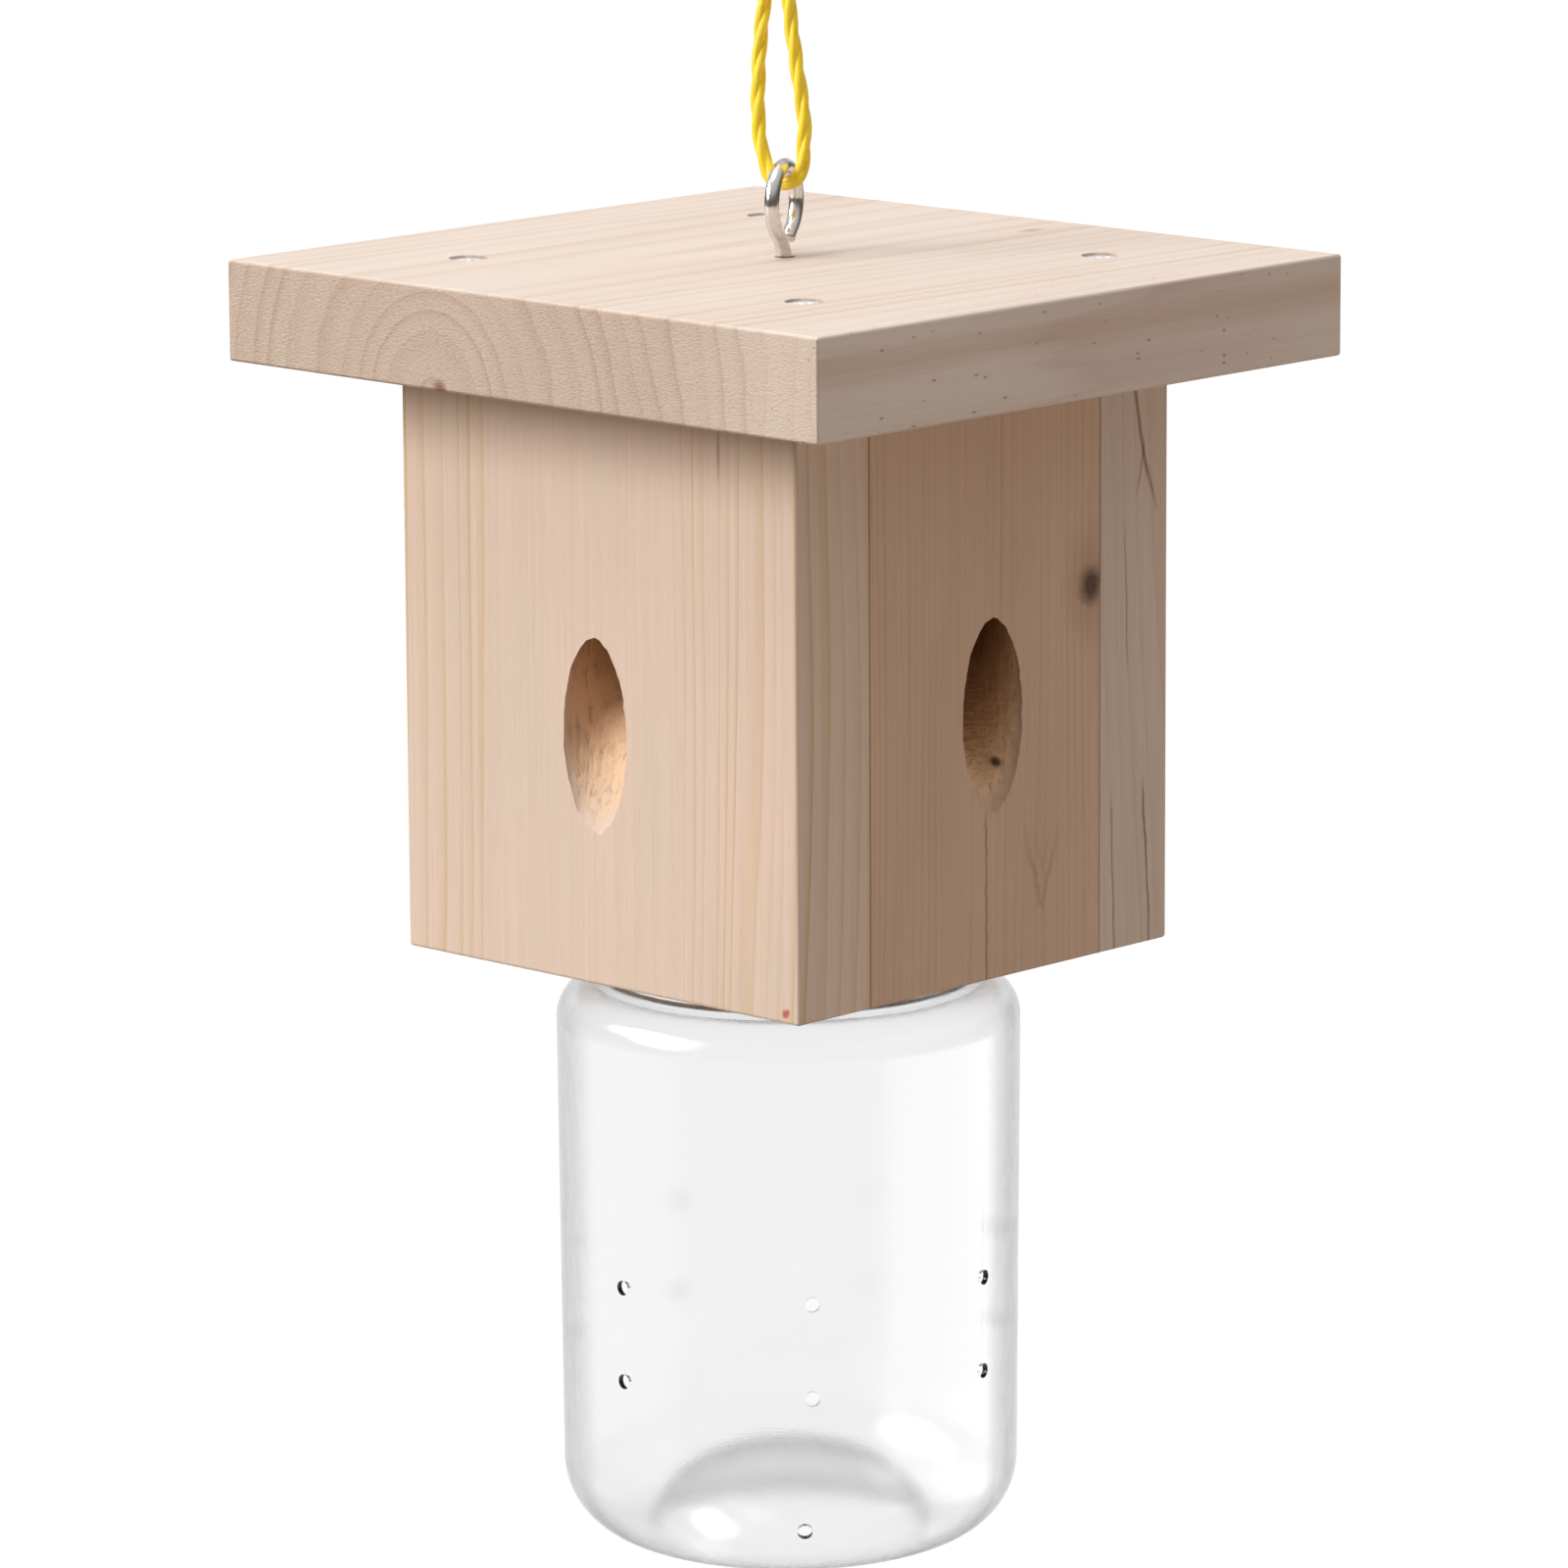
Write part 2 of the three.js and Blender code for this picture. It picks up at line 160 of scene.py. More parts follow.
level = Vector((math.cos(view_turn), math.sin(view_turn), 0))
away = Vector((math.sin(view_turn), -math.cos(view_turn), 0)) * math.cos(view_rise)
away.z = math.sin(view_rise)
upward = away.cross(level)
side = level * math.cos(view_roll) + upward * math.sin(view_roll)
top = upward * math.cos(view_roll) - level * math.sin(view_roll)
aim = Vector((0, 0, roof_low.z)) + side * view_offset[0] + top * view_offset[1]
bpy.ops.object.camera_add()
camera = bpy.context.object
camera.data.lens = view_lens
camera.data.sensor_width = view_sensor
camera.data.clip_end = view_reach
camera.matrix_world = Matrix.Translation(aim + away * view_distance) @ Matrix(
    (side, top, away)
).transposed().to_4x4()
bpy.context.scene.camera = camera
bpy.context.scene.view_settings.view_transform = "Standard"

floor_drop, floor_size = 0.12, 24
bpy.ops.mesh.primitive_plane_add(size=floor_size, location=(0, 0, jar_low.z - floor_drop))
floor = bpy.context.object
floor.name = "floor"
floor_paint = bpy.data.materials.new("white floor")
floor_paint.use_nodes = True
feed(floor_paint.node_tree.nodes["Principled BSDF"], {
    "Base Color": (0.04, 0.04, 0.04, 1), "Roughness": 1.0, "Specular IOR Level": 0.0,
    "Emission Color": (1, 1, 1, 1), "Emission Strength": 1.0,
})
floor.data.materials.append(floor_paint)
floor.visible_diffuse = False
floor.visible_glossy = False

# The studio is dim at eye level and bright overhead, with a low soft panel at either side and a
# pale far wall.
sky = bpy.data.worlds.new("studio")
bpy.context.scene.world = sky
sky.use_nodes = True
look = Wire(sky.node_tree, sky.node_tree.nodes.new("ShaderNodeTexCoord").outputs["Generated"])
look_x, look_y, look_z = look.parts()
height = look_z * 0.5 + 0.5
room = height.ramp(
    (0.0, (0.50, 0.44, 0.40)), (0.40, (0.36, 0.315, 0.28)), (0.44, (0.10, 0.09, 0.08)),
    (0.58, (0.14, 0.12, 0.11)), (0.7, (0.45, 0.43, 0.42)), (1.0, (0.80, 0.80, 0.82)),
)
bearing = look_y.math("ARCTAN2", look_y, look_x) / 360 * math.degrees(1) + 0.5
panels = bearing.ramp(
    (0.03, 0.0), (0.05, 0.4), (0.20, 0.4), (0.22, 0.0),
    (0.50, 0.0), (0.515, 1.0), (0.70, 1.0), (0.715, 0.0),
)
panels = panels * height.ramp((0.26, 0.0), (0.32, 1.0), (0.41, 1.0), (0.43, 0.0))
far_wall = bearing.ramp((0.76, 0.0), (0.80, 1.0), (0.96, 1.0), (1.0, 0.0))
far_wall = far_wall * height.ramp((0.22, 0.0), (0.30, 1.0), (0.66, 1.0), (0.70, 0.0))
panel_light, wall_light = (2.9, 2.75, 2.65), (0.9, 0.9, 0.9)
lit = far_wall.mix(panels.mix(room, panel_light), wall_light)
feed(sky.node_tree.nodes["Background"], {"Color": lit, "Strength": 1.0})
lamp_aim_drop = 0.06


def lamp(name, place, width, height, power, colour=(1, 1, 1), lights_wood=True):
    """A soft box that faces the trap."""
    target = Vector((0, 0, roof_low.z - lamp_aim_drop))
    turn = (Vector(place) - target).to_track_quat("Z", "Y")
    bpy.ops.object.light_add(type="AREA", location=place, rotation=turn.to_euler())
    made = bpy.context.object
    made.name = name
    made.data.shape = "RECTANGLE"
    made.data.size = width
    made.data.size_y = height
    made.data.energy = power
    made.data.color = colour
    made.visible_diffuse = lights_wood
    made.visible_camera = False
    return made


lamp("key", (-1.3, -2.6, 1.25), 1.5, 1.5, 96, (0.96, 0.98, 1.0))
lamp("overhead", (-0.3, -0.4, 2.6), 2.0, 2.0, 44, (0.90, 0.96, 1.0))
lamp("gloss", (-1.7, -1.7, 1.3), 1.3, 1.0, 90, lights_wood=False)

# ---- Rope ----
# A 3 mm yellow rope laid from three yarns of melt-spun plastic. It is doubled through the eye, tied
# in an overhand knot and ends above that in a small hanging loop, with two short cut ends.
rope_thick = 0.003
route_spacing, curve_steps, knot_steps = 0.0006, 40, 240
rope_turn = math.radians(23.6)
roof_top = roof_high.z
ROPE_STRANDS = [  # beside the eye and above the roof, in millimetres
    (0.9, 60), (1.2, 49.7), (2.5, 38.9), (4.1, 27.8), (4.1, 21.5), (3.7, 17.8), (2.6, 15.3),
    (0, 14.2), (-2.6, 15.3), (-3.7, 17.8), (-4.7, 21.5), (-5.3, 27.8), (-5, 38.9), (-3.9, 49.7),
    (-2.6, 60),
]
ROPE_LOOP = [
    (-2.6, 72.2), (-5.6, 77.2), (-7, 83), (-4.9, 89.3), (0, 91.5), (4.9, 89.3), (7, 83), (5, 77.2),
    (1.6, 72.2),
]
ROPE_ENDS = [
    [(-6.8, 66.4), (-9.6, 66.2), (-12.4, 64.4), (-14, 61.4), (-14.8, 58.2)],
    [(5, 66.4), (8, 66.6), (10.6, 65.2), (12.4, 62.4), (13.4, 59.4)],
]
KNOT_MIDDLE = (-0.9, 66.2)


def rope_place(x, z, y=0.0):
    """A point of the rope's own plane, in millimetres above the roof, as a point of the trap."""
    flat = Vector((x * math.cos(rope_turn) - y * math.sin(rope_turn),
                   x * math.sin(rope_turn) + y * math.cos(rope_turn), z))
    return flat / 1000 + Vector((0, 0, roof_top))


def smooth_route(points):
    """Points about route_spacing apart on a smooth curve through the given ones."""
    padded = [points[0] * 2 - points[1], *points, points[-1] * 2 - points[-2]]
    fine = []
    for p0, p1, p2, p3 in zip(padded, padded[1:], padded[2:], padded[3:]):
        square = p0 * 2 - p1 * 5 + p2 * 4 - p3
        cube = p1 * 3 - p0 - p2 * 3 + p3
        for step in range(curve_steps):
            t = step / curve_steps
            fine.append(p1 + ((p2 - p0) * t + square * t**2 + cube * t**3) / 2)
    fine.append(points[-1])
    route = [fine[0]]
    for point in fine:
        if (point - route[-1]).length >= route_spacing:
            route.append(point)
    return route


def laid_rope(name, route, lay=0.022, yarns=3, yarn_share=0.6, sides=12):
    """Yarns twisted round a route and pressed together.

    The UV map runs round each yarn and, in millimetres, along it."""
    yarn = rope_thick * yarn_share / 2
    offset = rope_thick / 2 - yarn
    normal = (route[1] - route[0]).orthogonal().normalized()
    frames = []
    travelled = 0.0
    for i, point in enumerate(route):
        ahead = (route[min(i + 1, len(route) - 1)] - route[max(i - 1, 0)]).normalized()
        normal = (normal - ahead * normal.dot(ahead)).normalized()
        travelled += (point - route[max(i - 1, 0)]).length
        frames.append((point, normal, ahead.cross(normal), travelled))
    points, faces, along = [], [], []
    for strand in range(yarns):
        base = len(points)
        for point, across, beside, distance in frames:
            angle = 2 * math.pi * (distance / lay + strand / yarns)
            heart = point + (across * math.cos(angle) + beside * math.sin(angle)) * offset
            for i in range(sides):
                turn = angle + 2 * math.pi * i / sides
                points.append(heart + (across * math.cos(turn) + beside * math.sin(turn)) * yarn)
                along.append((i / sides, distance * 1000))
        for ring in range(len(frames) - 1):
            for i in range(sides):
                a, b = base + ring * sides + i, base + ring * sides + (i + 1) % sides
                faces.append((a, b, b + sides, a + sides))
        faces.append(tuple(base + i for i in reversed(range(sides))))
        faces.append(tuple(base + (len(frames) - 1) * sides + i for i in range(sides)))
    mesh = bpy.data.meshes.new(name)
    mesh.from_pydata(points, [], faces)
    uv = mesh.uv_layers.new(name="along_yarn")
    for face in mesh.polygons:
        wraps = len(face.vertices) == 4 and max(along[v][0] for v in face.vertices) > 0.85
        for corner in face.loop_indices:
            u, v = along[mesh.loops[corner].vertex_index]
            uv.data[corner].uv = (1.0 if wraps and u < 0.05 else u, v)
    mesh.shade_smooth()
    piece = bpy.data.objects.new(name, mesh)
    bpy.context.collection.objects.link(piece)
    return piece


def spun_plastic():
    """Bright yellow plastic fibres, drawn fine and laid along each yarn, with painted shade on
    each yarn's inner side, where the yarns press together.
    """
    material, surface, place = new_finish("yellow rope", "UV")
    around, along, _ = place.parts()
    lean = around * 9 + along * 0.55
    fibre = place.vector(lean * 1.3, along * 0.12, 0).noise(3, 0.6)
    broad = place.vector(around * 2, along * 0.3, 7).noise(2)
    groove = around.math("COSINE", around * 2 * math.pi)
    deep = (groove * -0.5 + 0.5).clamp()
    colour = fibre.ramp(
        (0.28, (0.84, 0.53, 0.006)), (0.5, (0.93, 0.66, 0.012)), (0.75, (0.98, 0.76, 0.04)),
    )
    # Painted shade: a deeper orange on each yarn's inner side, in the crease between yarns, patchy along
    # the rope.
    colour = (broad * 0.25 * deep).mix(colour, (0.78, 0.46, 0.004))
    bump = place.node("Bump", {}, {"Strength": 0.6, "Distance": 0.0002, "Height": fibre})
    feed(surface, {
        "Base Color": colour, "Roughness": fibre * 0.25 + 0.38, "Normal": bump,
        "Sheen Weight": 0.25, "Specular IOR Level": 0.45,
    })
    return material


yellow_rope = spun_plastic()
rope_line = [(-0.6, 65.5), *ROPE_STRANDS, (-1.6, 66.2), *ROPE_LOOP, (0.2, 67.4)]
rope_route = smooth_route([rope_place(x, z) for x, z in rope_line])
rope_length = sum((b - a).length for a, b in zip(rope_route, rope_route[1:]))
rope = laid_rope("rope", rope_route)

# The knot's own turns: a trefoil drawn tight.
knot_size, knot_stretch, knot_depth = 1.32, 1.12, 1.9
knot_route = []
for step in range(knot_steps + 1):
    t = 2 * math.pi * step / knot_steps
    x = KNOT_MIDDLE[0] + knot_size * (math.sin(t) + 2 * math.sin(2 * t))
    z = KNOT_MIDDLE[1] + knot_size * knot_stretch * (math.cos(t) - 2 * math.cos(2 * t))
    knot_route.append(rope_place(x, z, -knot_depth * math.sin(3 * t)))
knot = laid_rope("rope_knot_turns", knot_route)
rope_ends = []
for number, points in enumerate(ROPE_ENDS, 1):
    inward = rope_place(*points[0]) * 2 - rope_place(*points[1])
    route = smooth_route([inward, *(rope_place(x, z) for x, z in points)])
    rope_ends.append(laid_rope(f"rope_end_{number}", route))

for piece, nodes in [
    (rope, ["rope_strands", "rope_loop"]),
    (knot, ["rope_knot"]),
    (rope_ends[0], ["rope_tail_1"]),
    (rope_ends[1], ["rope_tail_2"]),
]:
    piece.data.materials.append(yellow_rope)
    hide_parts(*nodes)
    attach(piece, "rope")

# ---- Roof board ----
# A planed pine board, its grain running front to back, so that the ends of the rings show on the
# front edge. Its edges are eased, and four screws and the eye go through it.
edge_ease = 0.0007
end_tone = (0.50, 0.345, 0.24)
screw_across, screw_inset = 0.090, 0.011
screw_head, screw_shank, screw_slack, screw_rim = 0.0035, 0.00175, 0.0003, 0.0002
seat_drop, cone_drop = 0.0004, 0.0003
eye_hole, eye_hole_deep = 0.0021, 0.016
past = 0.002  # how far a cutter runs beyond a face
house_low, house_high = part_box("wall_front")[0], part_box("wall_back")[1]


def deselect():
    bpy.ops.object.select_all(action="DESELECT")


def apply_place(piece):
    """Moves an object's place, turn and size into its mesh."""
    deselect()
    piece.select_set(True)
    bpy.context.view_layer.objects.active = piece
    bpy.ops.object.transform_apply(location=True, rotation=True, scale=True)
    return piece


def shaped(piece, kind, **settings):
    """Adds a modifier to a piece and applies it."""
    bpy.context.view_layer.objects.active = piece
    modifier = piece.modifiers.new(kind.title(), kind)
    for key, value in settings.items():
        setattr(modifier, key, value)
    bpy.ops.object.modifier_apply(modifier=modifier.name)
    return piece


def cut(piece, *cutters):
    """Takes each cutter out of a piece."""
    for cutter in cutters:
        shaped(piece, "BOOLEAN", operation="DIFFERENCE", solver="EXACT", object=cutter)
        bpy.data.objects.remove(cutter)
    return piece


def edit(piece, mode="EDGE"):
    """Opens a piece in edit mode with nothing selected."""
    deselect()
    piece.select_set(True)
    bpy.context.view_layer.objects.active = piece
    bpy.ops.object.mode_set(mode="EDIT")
    bpy.ops.mesh.select_mode(type=mode)
    bpy.ops.mesh.select_all(action="DESELECT")


def pick_edges(piece, wanted):
    """Selects the edges whose middle point is wanted."""
    mesh = bmesh.from_edit_mesh(piece.data)
    for line in mesh.edges:
        line.select_set(bool(wanted((line.verts[0].co + line.verts[1].co) / 2)))
    bmesh.update_edit_mesh(piece.data)


def board(name, low, high, sharp=None):
    """A planed board with eased edges, apart from those that sharp picks out, which stay crisp."""
    bpy.ops.mesh.primitive_cube_add(size=1, location=(low + high) / 2)
    piece = bpy.context.object
    piece.name = name
    piece.scale = high - low
    apply_place(piece)
    edit(piece)
    pick_edges(piece, sharp or (lambda middle: False))
    bpy.ops.mesh.bevel(offset=edge_ease / 5, segments=1)
    bpy.ops.mesh.select_all(action="DESELECT")
    corner = (high - low) / 2
    centre = (high + low) / 2

    def outer(middle):
        away_from = [abs(abs(middle[i] - centre[i]) - corner[i]) < 1e-6 for i in range(3)]
        return sum(away_from) >= 2

    pick_edges(piece, lambda middle: outer(middle) and not (sharp and sharp(middle)))
    bpy.ops.mesh.bevel(offset=edge_ease, segments=4)
    bpy.ops.object.mode_set(mode="OBJECT")
    return piece


def rod(radius, start, end, sides=48):
    """A straight round cutter between two points."""
    turn = (end - start).to_track_quat("Z", "Y").to_euler()
    bpy.ops.mesh.primitive_cylinder_add(
        vertices=sides, radius=radius, depth=(end - start).length, location=(start + end) / 2, rotation=turn
    )
    return apply_place(bpy.context.object)


def smoothed(piece, degrees=35):
    """Smooth shading between faces that turn by less than an angle, with large faces kept flat."""
    deselect()
    piece.select_set(True)
    bpy.context.view_layer.objects.active = piece
    bpy.ops.object.shade_smooth_by_angle(angle=math.radians(degrees))
    return shaped(piece, "WEIGHTED_NORMAL", keep_sharp=True, weight=80)


def pine(name, grain, pith, lean, ring, tones, late, seed, marks=None, late_share=0.45, bored=None,
         plain=None):
    """Planed pine. The growth rings are round a pith line, so faces and ends agree.

    grain is the axis that the fibres follow; pith is where the rings' middle is on the other two,
    and lean is how far it drifts per unit of length; ring is the spacing, all in millimetres.
    tones are the early wood's two colours, late is the late wood's and late_share its strength.
    bored is the way that a wall faces and how strongly painted shade darkens and browns its bore
    with depth. plain is the middle and half width of a stretch across the board where the rings
    are faint."""
    material, surface, place = new_finish(name)
    x, y, z = place.scaled(1000).parts()
    across, beside, along = {"Z": (x, y, z), "Y": (x, z, y)}[grain]
    start = {"Z": roof_low.z * 1000, "Y": 0}[grain]
    drift = along - start
    slow = place.vector(across * 0.035 + seed, beside * 0.035, along * 0.004).noise(1) - 0.5
    dx = across - drift * lean[0] - pith[0] + slow * 6
    dy = beside - drift * lean[1] - pith[1]
    radius = (dx * dx + dy * dy) ** 0.5 + slow * 5
    uneven = place.vector(radius * (0.32 / ring), seed, 0).noise(1) - 0.5
    rough = place.vector(across * 0.3, beside * 0.3, along * 0.01 + seed).noise(2) - 0.5
    turn = (radius + rough * 1.1 + uneven * ring * 2.6) / ring
    turn = turn.math("FRACT", turn)
    line = turn.ramp((0.0, 0.12), (0.1, 0.0), (0.5, 0.08), (0.82, 0.5), (0.95, 1.0), (1.0, 0.12))
    strength = place.vector(radius * 0.21, seed + 5, along * 0.004).noise(1)
    strength = strength.ramp((0.35, 0.25), (0.7, 1.0))
    if plain:
        strength = strength * ((abs(across - plain[0]) - plain[1]) / 8 + 0.25).clamp()
    fibre = place.vector(across * 1.5, beside * 1.5 + seed, along * 0.02).noise(4, 0.62)
    hair = place.vector(across * 6, beside * 6, along * 0.16 + seed).noise(2, 0.6)
    cloud = place.vector(across * 0.06 + seed, beside * 0.06, along * 0.014).noise(3)
    colour = cloud.ramp((0.36, 0.0), (0.64, 1.0)).mix(tones[0], tones[1])
    colour = (line * strength * late_share).mix(colour, late)
    colour = colour.scaled(fibre * 0.22 + 0.89).scaled(hair * 0.16 + 0.92)
    height = fibre * 0.5 + hair * 0.35 - line * 0.25
    if bored:
        face_x, face_y, bore_shade_strength = bored
        deep = house_high.y * 1000 - x * face_x - y * face_y
        inside = ((deep - 0.5) / 1.5).clamp() * ((26 - abs(x * face_y + y * face_x)) / 2).clamp()
        torn = place.vector(x * 0.8, y * 0.8, z * 0.16 + seed).noise(4, 0.65)
        # Painted shade: the bore darkens and browns with depth into the wall, warmed as by light bounced
        # inside it; the torn fibres make its start uneven.
        bore_shade = ((deep + torn * 6 - 3) / 17 * bore_shade_strength).clamp()
        bore_shade_tint = bore_shade.ramp(
            (0, (0.68, 0.49, 0.34)), (0.25, (0.76, 0.49, 0.29)),
            (0.6, (0.47, 0.245, 0.105)), (1, (0.25, 0.105, 0.033)),
        )
        colour = inside.mix(colour, bore_shade_tint)
        colour = colour.scaled(1 - inside * torn.ramp((0.34, 0.3), (0.5, 0.0)))
        height = height + inside * torn * 5
    normal = Wire(place.tree, place.socket.node.outputs["Normal"]).parts()
    end_face = abs({"Z": normal[2], "Y": normal[1]}[grain]).ramp((0.6, 0.0), (0.9, 1.0))
    rough_end = place.vector(across * 1.1, beside * 2.2, along * 1.1 + seed).noise(4, 0.7)
    pits = end_face * rough_end.ramp((0.3, 1.0), (0.55, 0.0)) * 0.22
    colour = (end_face * 0.5).mix(colour, end_tone).scaled(1 - pits)
    colour = (end_face * line * strength * 0.38).mix(colour, late)
    height = height + end_face * rough_end * 4
    if marks:
        colour, height = marks(place, x, y, z, colour, height)
    bump = place.node("Bump", {}, {"Strength": 0.55, "Distance": 0.00022, "Height": height})
    feed(surface, {
        "Base Color": colour, "Roughness": fibre * 0.12 + 0.62 + end_face * 0.12, "Normal": bump,
        "Specular IOR Level": 0.3,
    })
    return material


def spot(offset_a, offset_b, width, height):
    """1 in the middle of an oval spot, falling to 0 at its edge. The offsets are from its middle."""
    return (1 - ((offset_a / width) ** 2.0 + (offset_b / height) ** 2.0) ** 0.5).clamp()


def roof_marks(place, x, y, z, colour, height):
    """Pores in the sapwood at the front right corner, the dark pith, a pin knot and a browner edge."""
    pores = place.node("TexVoronoi", {"feature": "F1"}, {
        "Vector": place.vector(x * 0.55 + z * 0.2, z * 0.32, y * 0.16), "Scale": 1.0, "Randomness": 1.0,
    })
    sapwood = ((x - 38) / 30).clamp()
    ends = ((roof_low.y * 1000 + 1 - y) * sapwood).clamp()
    colour = (ends * 0.35).mix(colour, (0.80, 0.65, 0.54))
    dots = pores.ramp((0.05, 1.0), (0.13, 0.0)) * (sapwood * 0.65 + 0.05)
    colour = dots.mix(colour, (0.30, 0.155, 0.08))
    pith = spot(x + 20, z - (roof_low.z * 1000 + 0.6), 2.2, 2.0)
    colour = (pith * 1.4).clamp().mix(colour, (0.27, 0.13, 0.07))
    knot_mark = spot(x - 10.7, y - 60.2, 2.4, 4.5)
    colour = (knot_mark * 0.8).mix(colour, (0.42, 0.20, 0.11))
    wave = place.vector(x * 0.05, z * 0.5, y * 0.012).noise(3) - 0.5
    band = (1 - abs(z - roof_high.z * 1000 + 6.5 + wave * 7) / 4).clamp()
    band = band * (x - roof_high.x * 1000 + 1).clamp()
    colour = (band * 0.45).mix(colour, (0.47, 0.29, 0.18))
    return colour, height - dots * 1.2


roof_pine = pine(
    "roof pine", "Y", (-20, roof_low.z * 1000 - 1), (0.02, 0.01), 5.6,
    ((0.62, 0.50, 0.415), (0.65, 0.535, 0.45)), (0.36, 0.21, 0.115), 3.0, roof_marks, 0.42,
)
roof = board("roof", roof_low, roof_high)
screw_places = [
    Vector((sx * screw_across / 2, sy * (house_high.y - screw_inset), 0))
    for sy in (-1, 1) for sx in (-1, 1)
]
screw_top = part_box("roof_screw_1")[1].z
cone_depth = screw_head - screw_shank
for screw_place in screw_places:
    mouth = screw_place + Vector((0, 0, roof_high.z + past))
    seat = screw_place + Vector((0, 0, screw_top - screw_rim))
    deep = screw_place + Vector((0, 0, roof_low.z - past))
    bpy.ops.mesh.primitive_cone_add(
        vertices=48, radius1=screw_shank, radius2=screw_head + screw_slack, depth=cone_depth,
        location=seat - Vector((0, 0, cone_depth / 2 + cone_drop)),
    )
    cone = apply_place(bpy.context.object)
    cut(roof, rod(screw_head + screw_slack, seat - Vector((0, 0, seat_drop)), mouth), cone)
    cut(roof, rod(screw_shank + screw_slack, seat, deep, 32))
eye_mouth = Vector((0, 0, roof_high.z + past))
cut(roof, rod(eye_hole, eye_mouth, Vector((0, 0, roof_high.z - eye_hole_deep)), 32))
roof.data.materials.append(roof_pine)
smoothed(roof)
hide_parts("roof_board")
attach(roof, "house")

# ---- Walls ----
# Four planed boards glued edge to face. The front and back boards are full width and cover the ends
# of the side boards. Each has an entry bore drilled steeply inward and up, torn at its rim.
bit_radius, bore_rise = 0.0085, math.radians(63.2)
lid_low, lid_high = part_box("jar_lid")
recess_gap, recess_below = 0.0008, 0.01
recess_radius = (lid_high.x - lid_low.x) / 2 + recess_gap
recess_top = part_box("base_board")[0].z
pilot_depth = 0.021
same_place, inside_reach = 1e-5, 0.04  # edges nearer the middle than the second are inside the box


def rough_bore(wall_turn, beside, drop):
    """A drill's path through a wall: a round bar whose surface is torn, turned and put in place."""
    length, rings, outside = 0.09, 64, 0.45  # the last is the share that stays outside the wall
    bpy.ops.mesh.primitive_circle_add(vertices=72, radius=bit_radius, fill_type="NGON")
    bore = bpy.context.object
    edit(bore, "FACE")
    bpy.ops.mesh.select_all(action="SELECT")
    for _ in range(rings):
        bpy.ops.mesh.extrude_region_move(TRANSFORM_OT_translate={"value": (0, 0, length / rings)})
    bpy.ops.mesh.select_all(action="SELECT")
    bpy.ops.mesh.normals_make_consistent(inside=False)
    bpy.ops.object.mode_set(mode="OBJECT")
    torn = bpy.data.textures.new("torn fibres", "CLOUDS")
    torn.noise_scale = 0.0022
    torn.noise_depth = 2
    shaped(bore, "DISPLACE", texture=torn, strength=0.0008, mid_level=0.5)
    tip = Vector((0, math.cos(bore_rise), math.sin(bore_rise)))
    entry = Vector((beside, house_low.y, roof_low.z - drop))
    turn = Matrix.Rotation(wall_turn, 4, "Z")
    lie = tip.to_track_quat("Z", "Y").to_matrix().to_4x4()
    bore.matrix_world = turn @ Matrix.Translation(entry - tip * length * outside) @ lie
    return apply_place(bore)


def right_marks(place, x, y, z, colour, height):
    """A dark knot at the back seam, a crack below the bore, ring tips, torn fibres in the bore,
    and painted shade in two dark patches low in the bore.
    """
    z = z - roof_low.z * 1000
    wave = place.vector(y * 0.3, z * 0.3, 2).noise(3) - 0.5
    outer = (x / 20).clamp()
    knot_mark = spot(y - 30.2 + wave * 2, z + 42.6 + wave * 2, 4.4, 4.8) * outer
    halo = spot(y - 29.5 + wave * 4, z + 42.6, 9, 15) * outer
    colour = (halo * 0.5).mix(colour, (0.30, 0.15, 0.08))
    colour = (knot_mark * 1.5).clamp().mix(colour, (0.10, 0.05, 0.032))
    line = (1 - abs(y + 0.2 + wave * 1.4) / 0.45).clamp()
    below = ((z + 82) / -4).clamp()
    crack = line * below * outer
    colour = (crack * 0.6).mix(colour, (0.16, 0.075, 0.035))
    rise = z - abs(y - 16 + wave * 2) * 3.2
    for tip, share in ((-104, 0.3), (-97, 0.18)):
        vee = (1 - abs(rise - tip + wave * 5) / 3).clamp() * ((-86 - z) / 10).clamp() * outer
        colour = (vee * share).mix(colour, (0.27, 0.13, 0.065))
    in_bore = ((house_high.x * 1000 - 0.4 - x) / 0.8).clamp()
    # Painted shade: two dark patches low in the bore, the larger at its lower left.
    bore_shade_patches = spot(y + 6.2, z + 76.5, 1.8, 6.5) + spot(y - 6.0, z + 74.5, 1.3, 1.3)
    colour = (bore_shade_patches * in_bore * 1.6).clamp().mix(colour, (0.085, 0.035, 0.015))
    ridges = place.vector(x * 0.5, y * 0.35 + 3, z * 1.5).noise(2, 0.6).ramp((0.42, 1.0), (0.52, 0.0))
    ridges = ridges * spot(y, z + 64, 12, 16) * in_bore
    colour = (ridges * 0.6).mix(colour, (0.14, 0.065, 0.03))
    return colour, height - crack * 1.5 - ridges * 3


